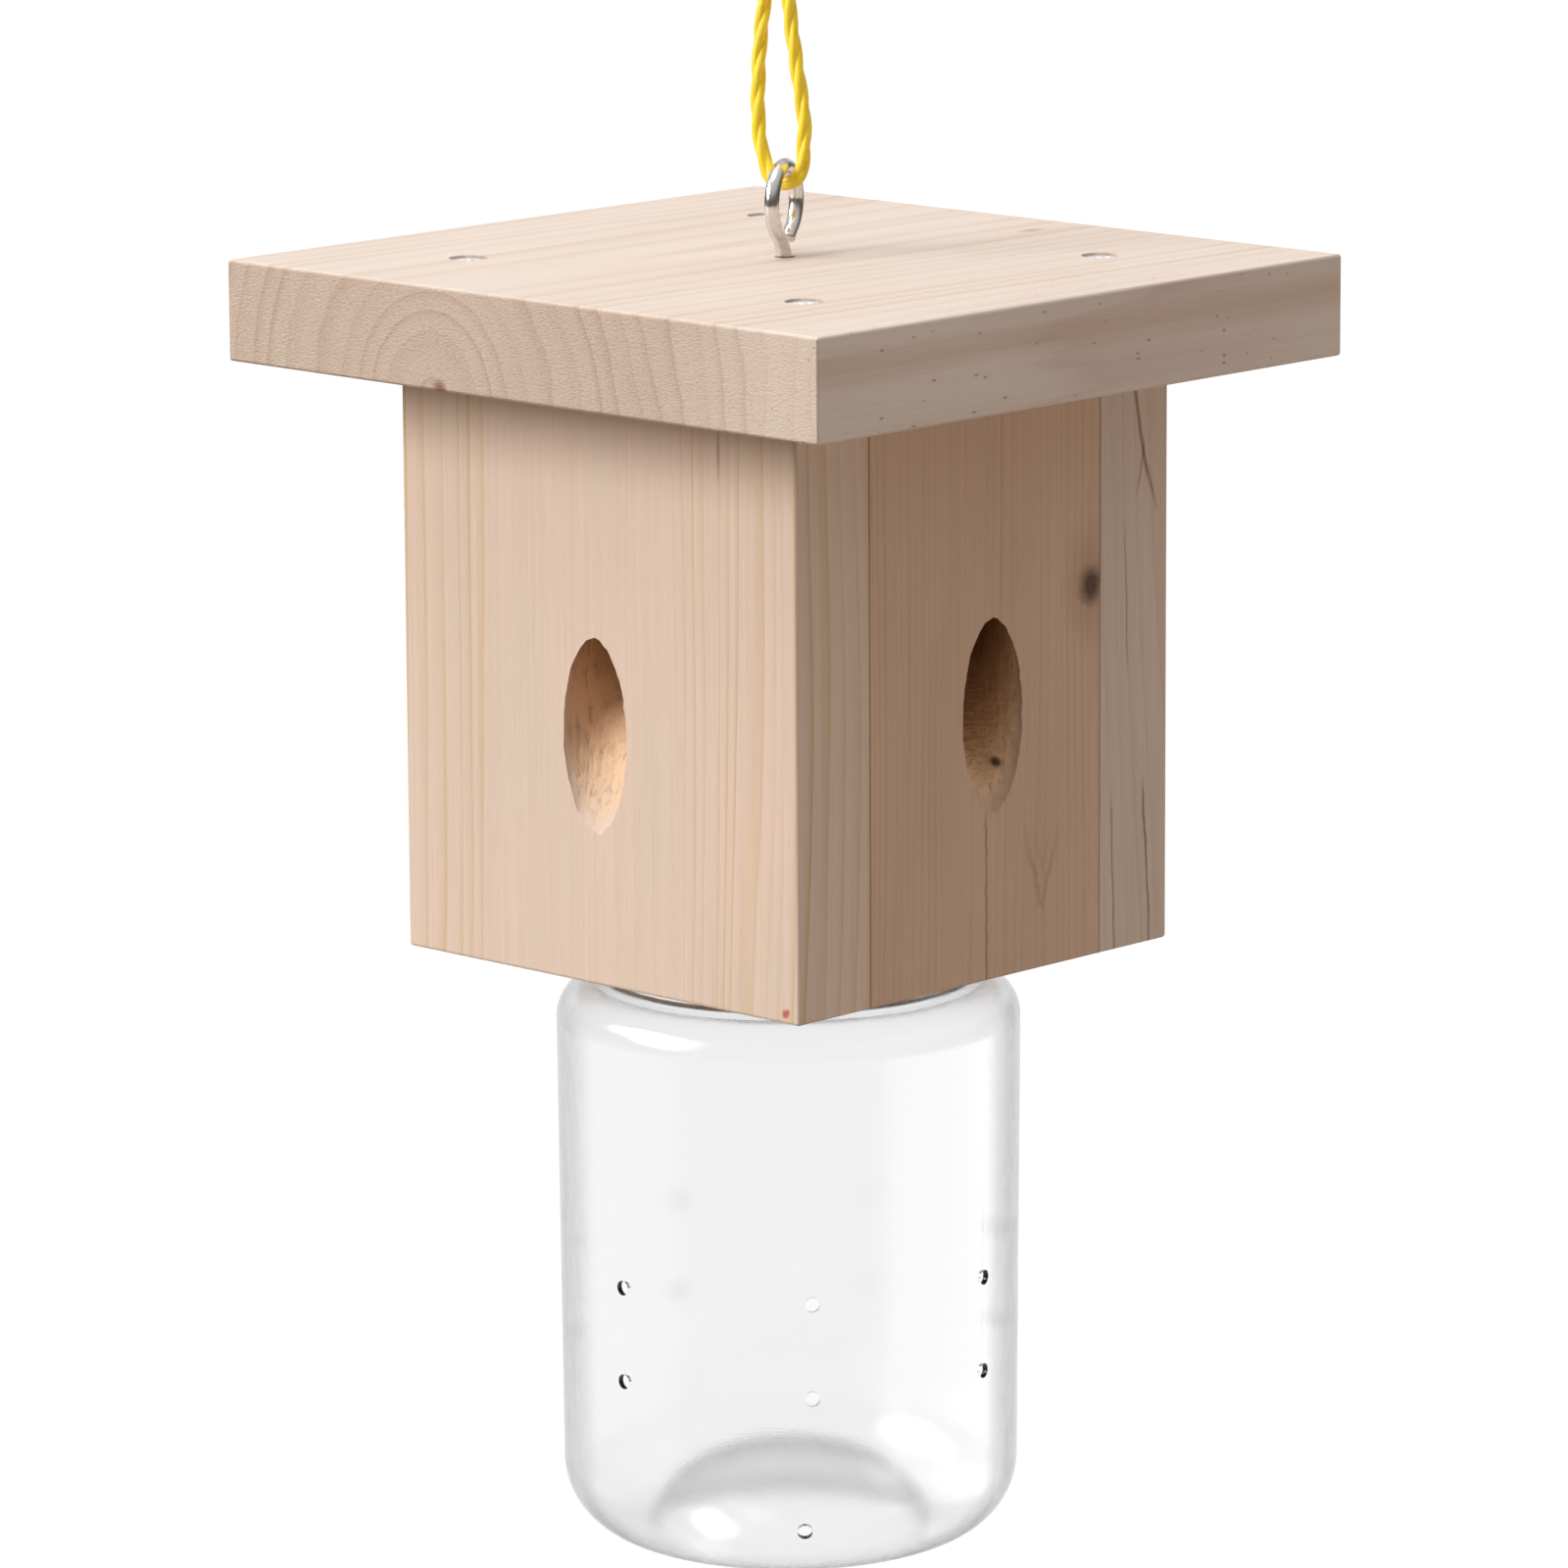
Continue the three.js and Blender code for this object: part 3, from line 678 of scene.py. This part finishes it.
def back_marks(place, x, y, z, colour, height):
    """A resin streak near the top and two cracks near the bottom of the back board's right edge."""
    z = z - roof_low.z * 1000
    wave = place.vector(y * 0.25, z * 0.08, 4).noise(3) - 0.5
    outer = ((x - 40) / 6).clamp()

    def streak(start, end, width, depth):
        slope = (end[0] - start[0]) / (end[1] - start[1])
        off = y - start[0] - (z - start[1]) * slope + wave * 1.6
        mask = (1 - abs(off) / width).clamp()
        inside = ((start[1] - z) / 5).clamp() * ((z - end[1]) / 5).clamp()
        return mask * inside * outer * depth

    resin = streak((42.2, -2), (47.4, -26), 0.8, 1.0) + streak((46.4, -20), (49.8, -31), 0.6, 0.9)
    branch = streak((46.2, -15), (43.4, -28), 0.6, 0.7)
    cracks = streak((40.0, -30), (41.2, -62), 0.35, 0.45) + streak((36.2, -84), (37.6, -123), 0.4, 0.6)
    cracks = cracks + streak((45.6, -82), (48.2, -123), 0.5, 0.8)
    colour = ((resin + branch) * 0.9).clamp().mix(colour, (0.22, 0.10, 0.045))
    colour = cracks.clamp().mix(colour, (0.15, 0.075, 0.04))
    return colour, height - cracks * 1.2


def front_marks(place, x, y, z, colour, height):
    """A speck of red marking paint at the bottom corner, and a short dark streak under the roof."""
    z = z - roof_low.z * 1000
    wave = place.vector(x * 0.9, z * 0.9, 1).noise(3) - 0.5
    front = ((-y - 50) / 2).clamp()
    speck = spot(x - 49.6 + wave * 1.5, z + 114.4 + wave * 2, 1.3, 1.1) * front
    colour = (speck * 1.6).clamp().mix(colour, (0.50, 0.10, 0.07))
    dark = spot(x - 32.8, z + 9, 0.5, 7) * front
    return (dark * 0.7).mix(colour, (0.22, 0.11, 0.05)), height


pale, warm = (0.63, 0.49, 0.375), (0.665, 0.495, 0.385)
WALLS = [
    # name, turn, full width, bore beside the middle, bore below the roof, its pine
    ("wall_front", 0, True, -0.0006, 0.0675,
     pine("front pine", "Z", (-150, -190), (0.012, 0.004), 2.6, (pale, warm), (0.50, 0.315, 0.125), 11.0,
          front_marks, 0.95, (0, -1, 0.6), (-3, 25))),
    ("wall_right", 90, False, 0.0017, 0.0645,
     pine("right pine", "Z", (-30, 80), (0.02, 0.03), 1.5, ((0.56, 0.375, 0.255), (0.60, 0.41, 0.28)),
          (0.36, 0.205, 0.115), 23.0, right_marks, 0.38, (1, 0, 1.7))),
    ("wall_back", 180, True, 0.0, 0.066,
     pine("back pine", "Z", (14, 92), (0.02, -0.04), 3.1, ((0.59, 0.46, 0.365), (0.63, 0.48, 0.375)),
          (0.44, 0.27, 0.15), 37.0, back_marks, 0.4, (0, 1, 0.7))),
    ("wall_left", 270, False, 0.0, 0.066,
     pine("left pine", "Z", (-98, -6), (0.06, 0.03), 2.9, (pale, warm), (0.45, 0.26, 0.13), 41.0,
          None, 0.5, (-1, 0, 0.7))),
]
for name, degrees, full, beside, drop, wood in WALLS:
    low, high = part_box(name)

    def seam(middle, full=full, low=low, high=high):
        """True on the edges that meet another board."""
        if full:
            on_face = min(abs(middle.y - low.y), abs(middle.y - high.y)) < same_place
            return on_face and abs(middle.y) < inside_reach
        return abs(abs(middle.y) - high.y) < same_place or abs(middle.x) < inside_reach

    wall = board(name.replace("wall", "side") + "_board", low, high, seam)
    cut(wall, rough_bore(math.radians(degrees), beside, drop))
    recess_start = Vector((0, 0, low.z - recess_below))
    cut(wall, rod(recess_radius, recess_start, Vector((0, 0, recess_top)), 128))
    for screw_place in screw_places if full else []:
        if screw_place.y * high.y > 0:
            start = screw_place + Vector((0, 0, high.z + past))
            end = start - Vector((0, 0, pilot_depth + past))
            cut(wall, rod(screw_shank + screw_slack, start, end, 24))
    wall.data.materials.append(wood)
    smoothed(wall)
    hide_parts(name)
    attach(wall, "house")

# ---- Base board ----
# A small pine board, let in between the walls. A 32 mm hole through it and the lid is the bees' way
# down, and four pilot holes take the lid's screws.
base_low, base_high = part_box("base_board")
throat_radius = 0.016
lid_screw_circle, lid_screw_shank, lid_pilot_depth = 0.024, 0.0014, 0.0105
lid_screw_angles = [math.radians(angle) for angle in (45, 135, 225, 315)]
lid_screw_places = [
    Vector((lid_screw_circle * math.cos(angle), lid_screw_circle * math.sin(angle), 0))
    for angle in lid_screw_angles
]
base_pine = pine(
    "base pine", "Y", (6, base_low.z * 1000 - 30), (0.02, 0.0), 2.6,
    (pale, warm), (0.45, 0.27, 0.14), 53.0,
)
base = board("base_panel", base_low, base_high)
up = Vector((0, 0, past))
cut(base, rod(throat_radius, Vector((0, 0, base_low.z)) - up, Vector((0, 0, base_high.z)) + up, 96))
for screw_place in lid_screw_places:
    start = screw_place + Vector((0, 0, base_low.z)) - up
    end = start + Vector((0, 0, lid_pilot_depth))
    cut(base, rod(lid_screw_shank + screw_slack, start, end, 24))
base.data.materials.append(base_pine)
smoothed(base)
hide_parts("base_board")
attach(base, "house")

# ---- Roof screws ----
# Four countersunk wood screws, zinc plated, with a cross recess. Each is driven through the roof
# into the end grain of the front or back wall.
screw_length, screw_point, screw_neck = 0.040, 0.005, 0.0032
thread_pitch, thread_proud, thread_top = 0.0018, 0.00055, 0.012


def arc(centre, radius, start, end, steps):
    """Points of a round stretch of an outline, its angles in degrees. radius may be (wide, high)."""
    wide, high = radius if isinstance(radius, tuple) else (radius, radius)
    angles = [math.radians(start + (end - start) * i / steps) for i in range(steps + 1)]
    return [(centre[0] + wide * math.cos(a), centre[1] + high * math.sin(a)) for a in angles]


def turned(name, outline, sides=64):
    """A piece turned on the vertical axis from an outline of (radius, height) points."""
    deselect()
    bpy.ops.mesh.primitive_plane_add(size=0.001)
    piece = bpy.context.object
    piece.name = name
    bpy.ops.object.mode_set(mode="EDIT")
    bpy.ops.mesh.select_mode(type="VERT")
    bpy.ops.mesh.merge(type="CENTER")
    bpy.ops.transform.translate(value=(outline[0][0], 0, outline[0][1]))
    for (r0, z0), (r1, z1) in zip(outline, outline[1:]):
        bpy.ops.mesh.extrude_region_move(TRANSFORM_OT_translate={"value": (r1 - r0, 0, z1 - z0)})
    bpy.ops.mesh.select_all(action="SELECT")
    bpy.ops.mesh.spin(steps=sides, angle=2 * math.pi, center=(0, 0, 0), axis=(0, 0, 1))
    bpy.ops.mesh.select_all(action="SELECT")
    bpy.ops.mesh.remove_doubles(threshold=0.00002)
    bpy.ops.mesh.normals_make_consistent(inside=False)
    bpy.ops.object.mode_set(mode="OBJECT")
    return piece


def screw_ridge(radius, proud, pitch, low, high):
    """A screw's thread: a sharp ridge wound round its shank."""
    deselect()
    bpy.ops.mesh.primitive_circle_add(vertices=3, radius=proud, rotation=(math.pi / 2, 0, 0))
    ridge = bpy.context.object
    ridge.scale = (1.2, 1, 0.7)
    ridge.location = (radius, 0, low)
    apply_place(ridge)
    turns = int((high - low) / pitch)
    shaped(ridge, "SCREW", axis="Z", steps=16, render_steps=16, iterations=turns, screw_offset=pitch,
           use_smooth_shade=False, use_merge_vertices=False)
    edit(ridge, "EDGE")
    bpy.ops.mesh.select_all(action="SELECT")
    bpy.ops.mesh.fill_holes(sides=3)
    bpy.ops.mesh.normals_make_consistent(inside=False)
    bpy.ops.object.mode_set(mode="OBJECT")
    return ridge


def joined(piece, *others):
    """Several meshes as one piece."""
    deselect()
    for other in others:
        other.select_set(True)
    piece.select_set(True)
    bpy.context.view_layer.objects.active = piece
    bpy.ops.object.join()
    return piece


def cross_recess(piece, face, inward, span=0.0042, slot=0.00085, depth=0.0016):
    """Sinks a cross recess into a head. face is its height, and inward is +1 up or -1 down."""
    over = 0.0002
    for quarter in (0, 1):
        middle = face + inward * (depth / 2 - over)
        bpy.ops.mesh.primitive_cube_add(size=1, location=(0, 0, middle))
        wing = bpy.context.object
        wing.scale = (span, slot, depth + 2 * over)
        apply_place(wing)
        edit(wing, "VERT")
        mesh = bmesh.from_edit_mesh(wing.data)
        for vertex in mesh.verts:
            vertex.select_set((vertex.co.z - face) * inward > depth / 2)
        bmesh.update_edit_mesh(wing.data)
        bpy.ops.transform.resize(value=(0.35, 0.8, 1), center_override=(0, 0, face))
        bpy.ops.object.mode_set(mode="OBJECT")
        wing.rotation_euler.z = quarter * math.pi / 2
        apply_place(wing)
        cut(piece, wing)
    return piece


def plated(name, light, dark, roughness):
    """Bright plating over drawn steel, with faint drawing lines and a few duller patches."""
    material, surface, place = new_finish(name)
    x, y, z = place.scaled(1000).parts()
    drawn = place.vector(x * 3, y * 3, z * 0.6).noise(3, 0.6)
    patch = place.scaled(900).noise(2)
    bump = place.node("Bump", {}, {"Strength": 0.12, "Distance": 0.0001, "Height": drawn})
    feed(surface, {
        "Base Color": patch.ramp((0.35, 0.0), (0.7, 1.0)).mix(light, dark), "Metallic": 1.0,
        "Roughness": drawn * 0.12 + patch * 0.1 + roughness, "Normal": bump,
    })
    return material


zinc = plated("zinc plate", (0.90, 0.91, 0.92), (0.76, 0.77, 0.80), 0.36)
thread_foot = -screw_length + screw_point
screw_outline = [
    (0, -screw_length), (screw_shank * 0.7, thread_foot), (screw_shank * 0.8, -screw_neck),
    (screw_head - screw_rim / 2, -screw_rim * 2), (screw_head, -screw_rim),
    (screw_head - screw_rim, 0), (0, 0),
]
for number, screw_place in enumerate(screw_places, 1):
    screw = turned(f"wood_screw_{number}", screw_outline, 40)
    ridge = screw_ridge(screw_shank * 0.72, thread_proud, thread_pitch, thread_foot, -thread_top)
    cross_recess(screw, 0, -1)
    joined(screw, ridge)
    screw.rotation_euler.z = math.radians(25 + 37 * number)
    screw.location = screw_place + Vector((0, 0, screw_top))
    apply_place(screw)
    screw.data.materials.append(zinc)
    smoothed(screw)
    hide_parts(f"roof_screw_{number}")
    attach(screw, "house")

# ---- Eye screw ----
# A 3 mm steel wire bent into a pear-shaped eye and nickel plated. Its threaded shank goes 15 mm into
# the roof, and the wire's free end stops just short of the shank.
wire_radius, eye_ring, eye_neck, eye_deep = 0.0015, 0.007, 0.008, 0.015
end_gap = 0.0004
eye_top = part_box("eye_screw")[1].z - roof_top
ring_height = eye_top - eye_ring - wire_radius
neck_height = ring_height - math.sqrt(eye_ring**2 + 2 * eye_ring * eye_neck)
neck_sweep = math.atan2(eye_neck, ring_height - neck_height)
end_sweep = math.acos(1 - (wire_radius + end_gap) / eye_neck)

deselect()
bpy.ops.mesh.primitive_circle_add(
    vertices=32, radius=wire_radius, fill_type="NGON", location=(0, 0, -eye_deep)
)
eye = bpy.context.object
eye.name = "eye_hook"
apply_place(eye)
edit(eye, "FACE")
bpy.ops.mesh.select_all(action="SELECT")
bpy.ops.mesh.extrude_region_move(TRANSFORM_OT_translate={"value": (0, 0, eye_deep + neck_height)})
BENDS = [
    # centre beside the shank, its height, sweep (anticlockwise seen from +X is positive), steps
    (-eye_neck, neck_height, math.pi / 2 - neck_sweep, 12),
    (0, ring_height, 2 * neck_sweep - 2 * math.pi, 72),
    (eye_neck, neck_height, math.pi / 2 - neck_sweep - end_sweep, 8),
]
for beside, height, sweep, steps in BENDS:
    bpy.ops.mesh.spin(steps=steps, angle=-sweep, center=(0, beside, height), axis=(1, 0, 0))
bpy.ops.mesh.select_all(action="SELECT")
bpy.ops.mesh.remove_doubles(threshold=0.00001)
bpy.ops.mesh.normals_make_consistent(inside=False)
bpy.ops.object.mode_set(mode="OBJECT")
shaped(eye, "BEVEL", width=0.0003, segments=2, limit_method="ANGLE", angle_limit=math.radians(60))
joined(eye, screw_ridge(
    wire_radius - 0.0001, proud=0.0005, pitch=0.0014, low=-eye_deep + 0.001, high=-0.002
))
eye.rotation_euler.z = rope_turn
eye.location.z = roof_top
apply_place(eye)
eye.data.materials.append(plated("nickel plate", (0.80, 0.77, 0.73), (0.70, 0.67, 0.64), 0.05))
smoothed(eye)
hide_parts("eye_screw")
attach(eye, "house")

# ---- Jar ----
# A clear blown jar with a 1.2 mm wall, a pushed-up base and a one-turn thread on its neck. Two rows
# of vent holes are drilled low in its side, and one drain hole in its heel.
WALL, NECK_WALL = 0.0012, 0.0014
jar_base, jar_rim = jar_low.z, jar_high.z
neck_radius, neck_rise = 0.0348, 0.0213
collar_proud, collar_rise, collar_slope = 0.002, 0.004, 0.001
collar_radius = neck_radius + collar_proud
body_radius, foot_radius = 0.046, 0.0453
shoulder_round, heel_round = 0.008, 0.0153
dome_radius, dome_height, dome_lip = 0.027, 0.016, 0.0012
vent_radius, vent_columns, vent_first = 0.0015, 7, -41
vent_rows = (0.0384, 0.0574)  # above the base
drill_in, drill_out = 0.004, 0.001
drain_angle, drain_slope = math.radians(-43), math.radians(15)

collar_foot = jar_rim - neck_rise
shoulder = (body_radius - shoulder_round, collar_foot - shoulder_round)
heel = (foot_radius - heel_round, jar_base + heel_round)
dome_wall = math.degrees(math.asin(WALL / (dome_height + WALL)))
rim_lip, flare, flare_rise = 0.0006, 0.0006, 0.0005
jar_outline = [
    *arc((0, jar_base), (dome_radius, dome_height), 90, 4, 20),
    *arc((dome_radius + dome_lip, jar_base + dome_lip), dome_lip, 180, 270, 4)[1:],
    *arc(heel, heel_round, -90, 0, 20),
    *arc(shoulder, shoulder_round, 0, 86, 18),
    (collar_radius + flare, collar_foot), (collar_radius, collar_foot + flare_rise),
    (collar_radius, collar_foot + collar_rise - collar_slope),
    (neck_radius, collar_foot + collar_rise),
    *arc((neck_radius - rim_lip, jar_rim - rim_lip), rim_lip, 0, 90, 4),
    *arc((neck_radius - NECK_WALL + rim_lip, jar_rim - rim_lip), rim_lip, 90, 180, 4),
    (neck_radius - NECK_WALL, collar_foot + flare),
    *arc(shoulder, shoulder_round - WALL, 88, 0, 18),
    *arc(heel, heel_round - WALL, 0, -90, 20),
    *arc((0, jar_base), (dome_radius + WALL, dome_height + WALL), dome_wall, 90, 20),
]


def clear_plastic():
    """Clear blown plastic, faintly hazy, its surface finely grained and softly waved."""
    material, surface, place = new_finish("clear plastic")
    grain = place.scaled(2600).noise(2, 0.7)
    x, y, z = place.scaled(1000).parts()
    wave = place.vector(x * 0.09, y * 0.09, z * 0.04).noise(2)
    bump = place.node("Bump", {}, {"Strength": 0.14, "Distance": 0.0002, "Height": grain})
    bump = place.node("Bump", {}, {"Strength": 0.05, "Distance": 0.0012, "Height": wave, "Normal": bump})
    feed(surface, {
        "Base Color": (0.926, 0.928, 0.929, 1), "Roughness": grain * 0.05 + 0.02,
        "Transmission Weight": 1.0, "IOR": 1.38, "Normal": bump,
    })
    return material


def helix_bead(radius, bead, pitch, turns, start, sides=12):
    """A round bead wound on a neck, to be one thread."""
    deselect()
    bpy.ops.mesh.primitive_circle_add(vertices=sides, radius=bead, rotation=(math.pi / 2, 0, 0))
    wound = bpy.context.object
    wound.location = (radius, 0, start)
    apply_place(wound)
    steps = 72
    shaped(wound, "SCREW", axis="Z", steps=steps, render_steps=steps, angle=2 * math.pi * turns,
           screw_offset=pitch * turns, use_smooth_shade=True, use_merge_vertices=False)
    edit(wound, "EDGE")
    bpy.ops.mesh.select_all(action="SELECT")
    bpy.ops.mesh.fill_holes(sides=sides)
    bpy.ops.mesh.normals_make_consistent(inside=False)
    bpy.ops.object.mode_set(mode="OBJECT")
    return wound


jar = turned("clear_jar", jar_outline, 144)
jar_pitch, thread_turns, thread_start = 0.005, 1.1, 0.0085
jar_bead, bead_proud, bead_start = 0.0012, 0.00015, jar_rim - thread_start
bead = helix_bead(neck_radius + bead_proud, jar_bead, jar_pitch, thread_turns, bead_start)
shaped(jar, "BOOLEAN", operation="UNION", solver="EXACT", object=bead)
bpy.data.objects.remove(bead)
for row in vent_rows:
    for column in range(vent_columns):
        angle = math.radians(vent_first) + 2 * math.pi * column / vent_columns
        out = Vector((math.cos(angle), math.sin(angle), 0))
        height = Vector((0, 0, jar_base + row))
        start = out * (foot_radius - drill_in) + height
        end = out * (body_radius + drill_out) + height
        cut(jar, rod(vent_radius, start, end, 20))
drain_run = Vector((
    math.cos(drain_angle) * math.cos(drain_slope),
    math.sin(drain_angle) * math.cos(drain_slope),
    -math.sin(drain_slope),
))
drain_centre = Vector((heel[0] * math.cos(drain_angle), heel[0] * math.sin(drain_angle), heel[1]))
start = drain_centre + drain_run * (heel_round - drill_in)
end = drain_centre + drain_run * (heel_round + past)
cut(jar, rod(vent_radius, start, end, 20))
jar.data.materials.append(clear_plastic())
smoothed(jar, 40)
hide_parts("jar")
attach(jar, "jar")

# ---- Lid ----
# A white moulded screw lid with a ribbed skirt, screwed upside down under the base board. Its middle
# is cut out to the throat, and one bead inside the skirt holds the jar's thread.
skirt_gap, lid_plate, lid_edge, lid_round = 0.0025, 0.002, 0.0003, 0.001
skirt_inner, skirt_outer = neck_radius + skirt_gap, (lid_high.x - lid_low.x) / 2
rib_depth, rib_count, rib_sides, rib_skin = 0.00035, 72, 4, 0.0002
lid_under = lid_high.z - lid_plate
lid_bead, bead_gap = 0.0016, 0.0003
bead_reach = jar_bead + lid_bead + bead_gap
bead_across = skirt_inner - bead_proud - neck_radius - bead_proud
lid_bead_start = bead_start - math.sqrt(bead_reach**2 - bead_across**2)


def moulded(name, colour, roughness):
    """Satin moulded plastic with a faint orange-peel surface."""
    material, surface, place = new_finish(name)
    peel = place.scaled(1400).noise(2)
    cloud = place.scaled(60).noise(2)
    bump = place.node("Bump", {}, {"Strength": 0.15, "Distance": 0.0001, "Height": peel})
    shade = tuple(channel * 0.93 for channel in colour)
    feed(surface, {
        "Base Color": cloud.mix(shade, colour), "Roughness": peel * 0.1 + roughness, "Normal": bump,
    })
    return material


lid_outline = [
    (skirt_outer - lid_edge, lid_low.z), (skirt_outer, lid_low.z + lid_edge),
    *arc((skirt_outer - lid_round, lid_high.z - lid_round), lid_round, 0, 90, 5),
    (throat_radius, lid_high.z), (throat_radius, lid_under),
    (skirt_inner - lid_round, lid_under), (skirt_inner, lid_under - lid_round),
    (skirt_inner, lid_low.z + lid_edge), (skirt_inner + lid_edge, lid_low.z),
    (skirt_outer - lid_edge, lid_low.z),
]
lid = turned("screw_lid", lid_outline, rib_count * rib_sides)
edit(lid, "VERT")
mesh = bmesh.from_edit_mesh(lid.data)
for vertex in mesh.verts:
    on_skirt = vertex.co.xy.length > skirt_outer - rib_skin
    column = round(math.atan2(vertex.co.y, vertex.co.x) * rib_count * rib_sides / (2 * math.pi))
    vertex.select_set(on_skirt and column % rib_sides == 0)
bmesh.update_edit_mesh(lid.data)
rib_shrink = 1 - rib_depth / skirt_outer
bpy.ops.transform.resize(value=(rib_shrink, rib_shrink, 1), center_override=(0, 0, 0))
bpy.ops.object.mode_set(mode="OBJECT")
for screw_place in lid_screw_places:
    middle = screw_place + Vector((0, 0, lid_high.z))
    cut(lid, rod(lid_screw_shank + screw_slack, middle - up * 3, middle + up, 24))
bead = helix_bead(skirt_inner - bead_proud, lid_bead, jar_pitch, thread_turns, lid_bead_start)
joined(lid, bead)
lid.data.materials.append(moulded("white lid plastic", (0.83, 0.83, 0.81), 0.3))
smoothed(lid)
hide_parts("jar_lid")
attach(lid, "house")

# ---- Lid screws ----
# Four short pan-head screws, zinc plated, which hold the lid up against the base board.
lid_screw_length, lid_screw_point, pan_height, pan_radius = 0.011, 0.0025, 0.002, 0.003
lid_thread_top = lid_screw_length - lid_screw_point
pan_outline = [
    (0, -pan_height), (pan_radius * 0.45, -pan_height),
    *arc((pan_radius * 0.55, -0.0007), (pan_radius * 0.45, pan_height - 0.0008), -80, 0, 6),
    (pan_radius, 0), (lid_screw_shank * 0.75, 0), (lid_screw_shank * 0.75, lid_thread_top),
    (0, lid_screw_length),
]
for number, screw_place in enumerate(lid_screw_places, 1):
    screw = turned(f"pan_screw_{number}", pan_outline, 32)
    cross_recess(screw, -pan_height, 1, span=0.0034, slot=0.0007, depth=0.0012)
    joined(screw, screw_ridge(
        lid_screw_shank * 0.72, proud=0.0004, pitch=0.0013, low=0.001, high=lid_thread_top
    ))
    screw.rotation_euler.z = math.radians(11 + 53 * number)
    screw.location = screw_place + Vector((0, 0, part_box(f"lid_screw_{number}")[0].z + pan_height))
    apply_place(screw)
    screw.data.materials.append(zinc)
    smoothed(screw)
    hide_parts(f"lid_screw_{number}")
    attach(screw, "house")

# ---- Seal ring ----
# A flat ring of soft white foam inside the lid, which the jar's rim presses on.
seal_low, seal_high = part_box("seal_ring")
seal_edge, seal_overlap = 0.0003, 0.0004
seal_outer, seal_inner = seal_high.x, neck_radius - NECK_WALL - seal_overlap


def foam_sheet():
    """Closed-cell foam: a matt off-white sheet with fine cells."""
    material, surface, place = new_finish("white foam")
    cells = place.node("TexVoronoi", {}, {"Vector": place.scaled(1800), "Scale": 1.0})
    bump = place.node("Bump", {}, {"Strength": 0.4, "Distance": 0.0002, "Height": cells})
    feed(surface, {
        "Base Color": cells.mix((0.80, 0.80, 0.77), (0.88, 0.88, 0.86)),
        "Roughness": cells * 0.1 + 0.82, "Normal": bump,
    })
    return material


seal_outline = [
    (seal_outer - seal_edge, seal_low.z), (seal_outer, seal_low.z + seal_edge),
    (seal_outer, seal_high.z - seal_edge), (seal_outer - seal_edge, seal_high.z),
    (seal_inner + seal_edge, seal_high.z), (seal_inner, seal_high.z - seal_edge),
    (seal_inner, seal_low.z + seal_edge), (seal_inner + seal_edge, seal_low.z),
    (seal_outer - seal_edge, seal_low.z),
]
seal = turned("foam_seal", seal_outline, 128)
seal.data.materials.append(foam_sheet())
smoothed(seal, 30)
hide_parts("seal_ring")
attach(seal, "seal")
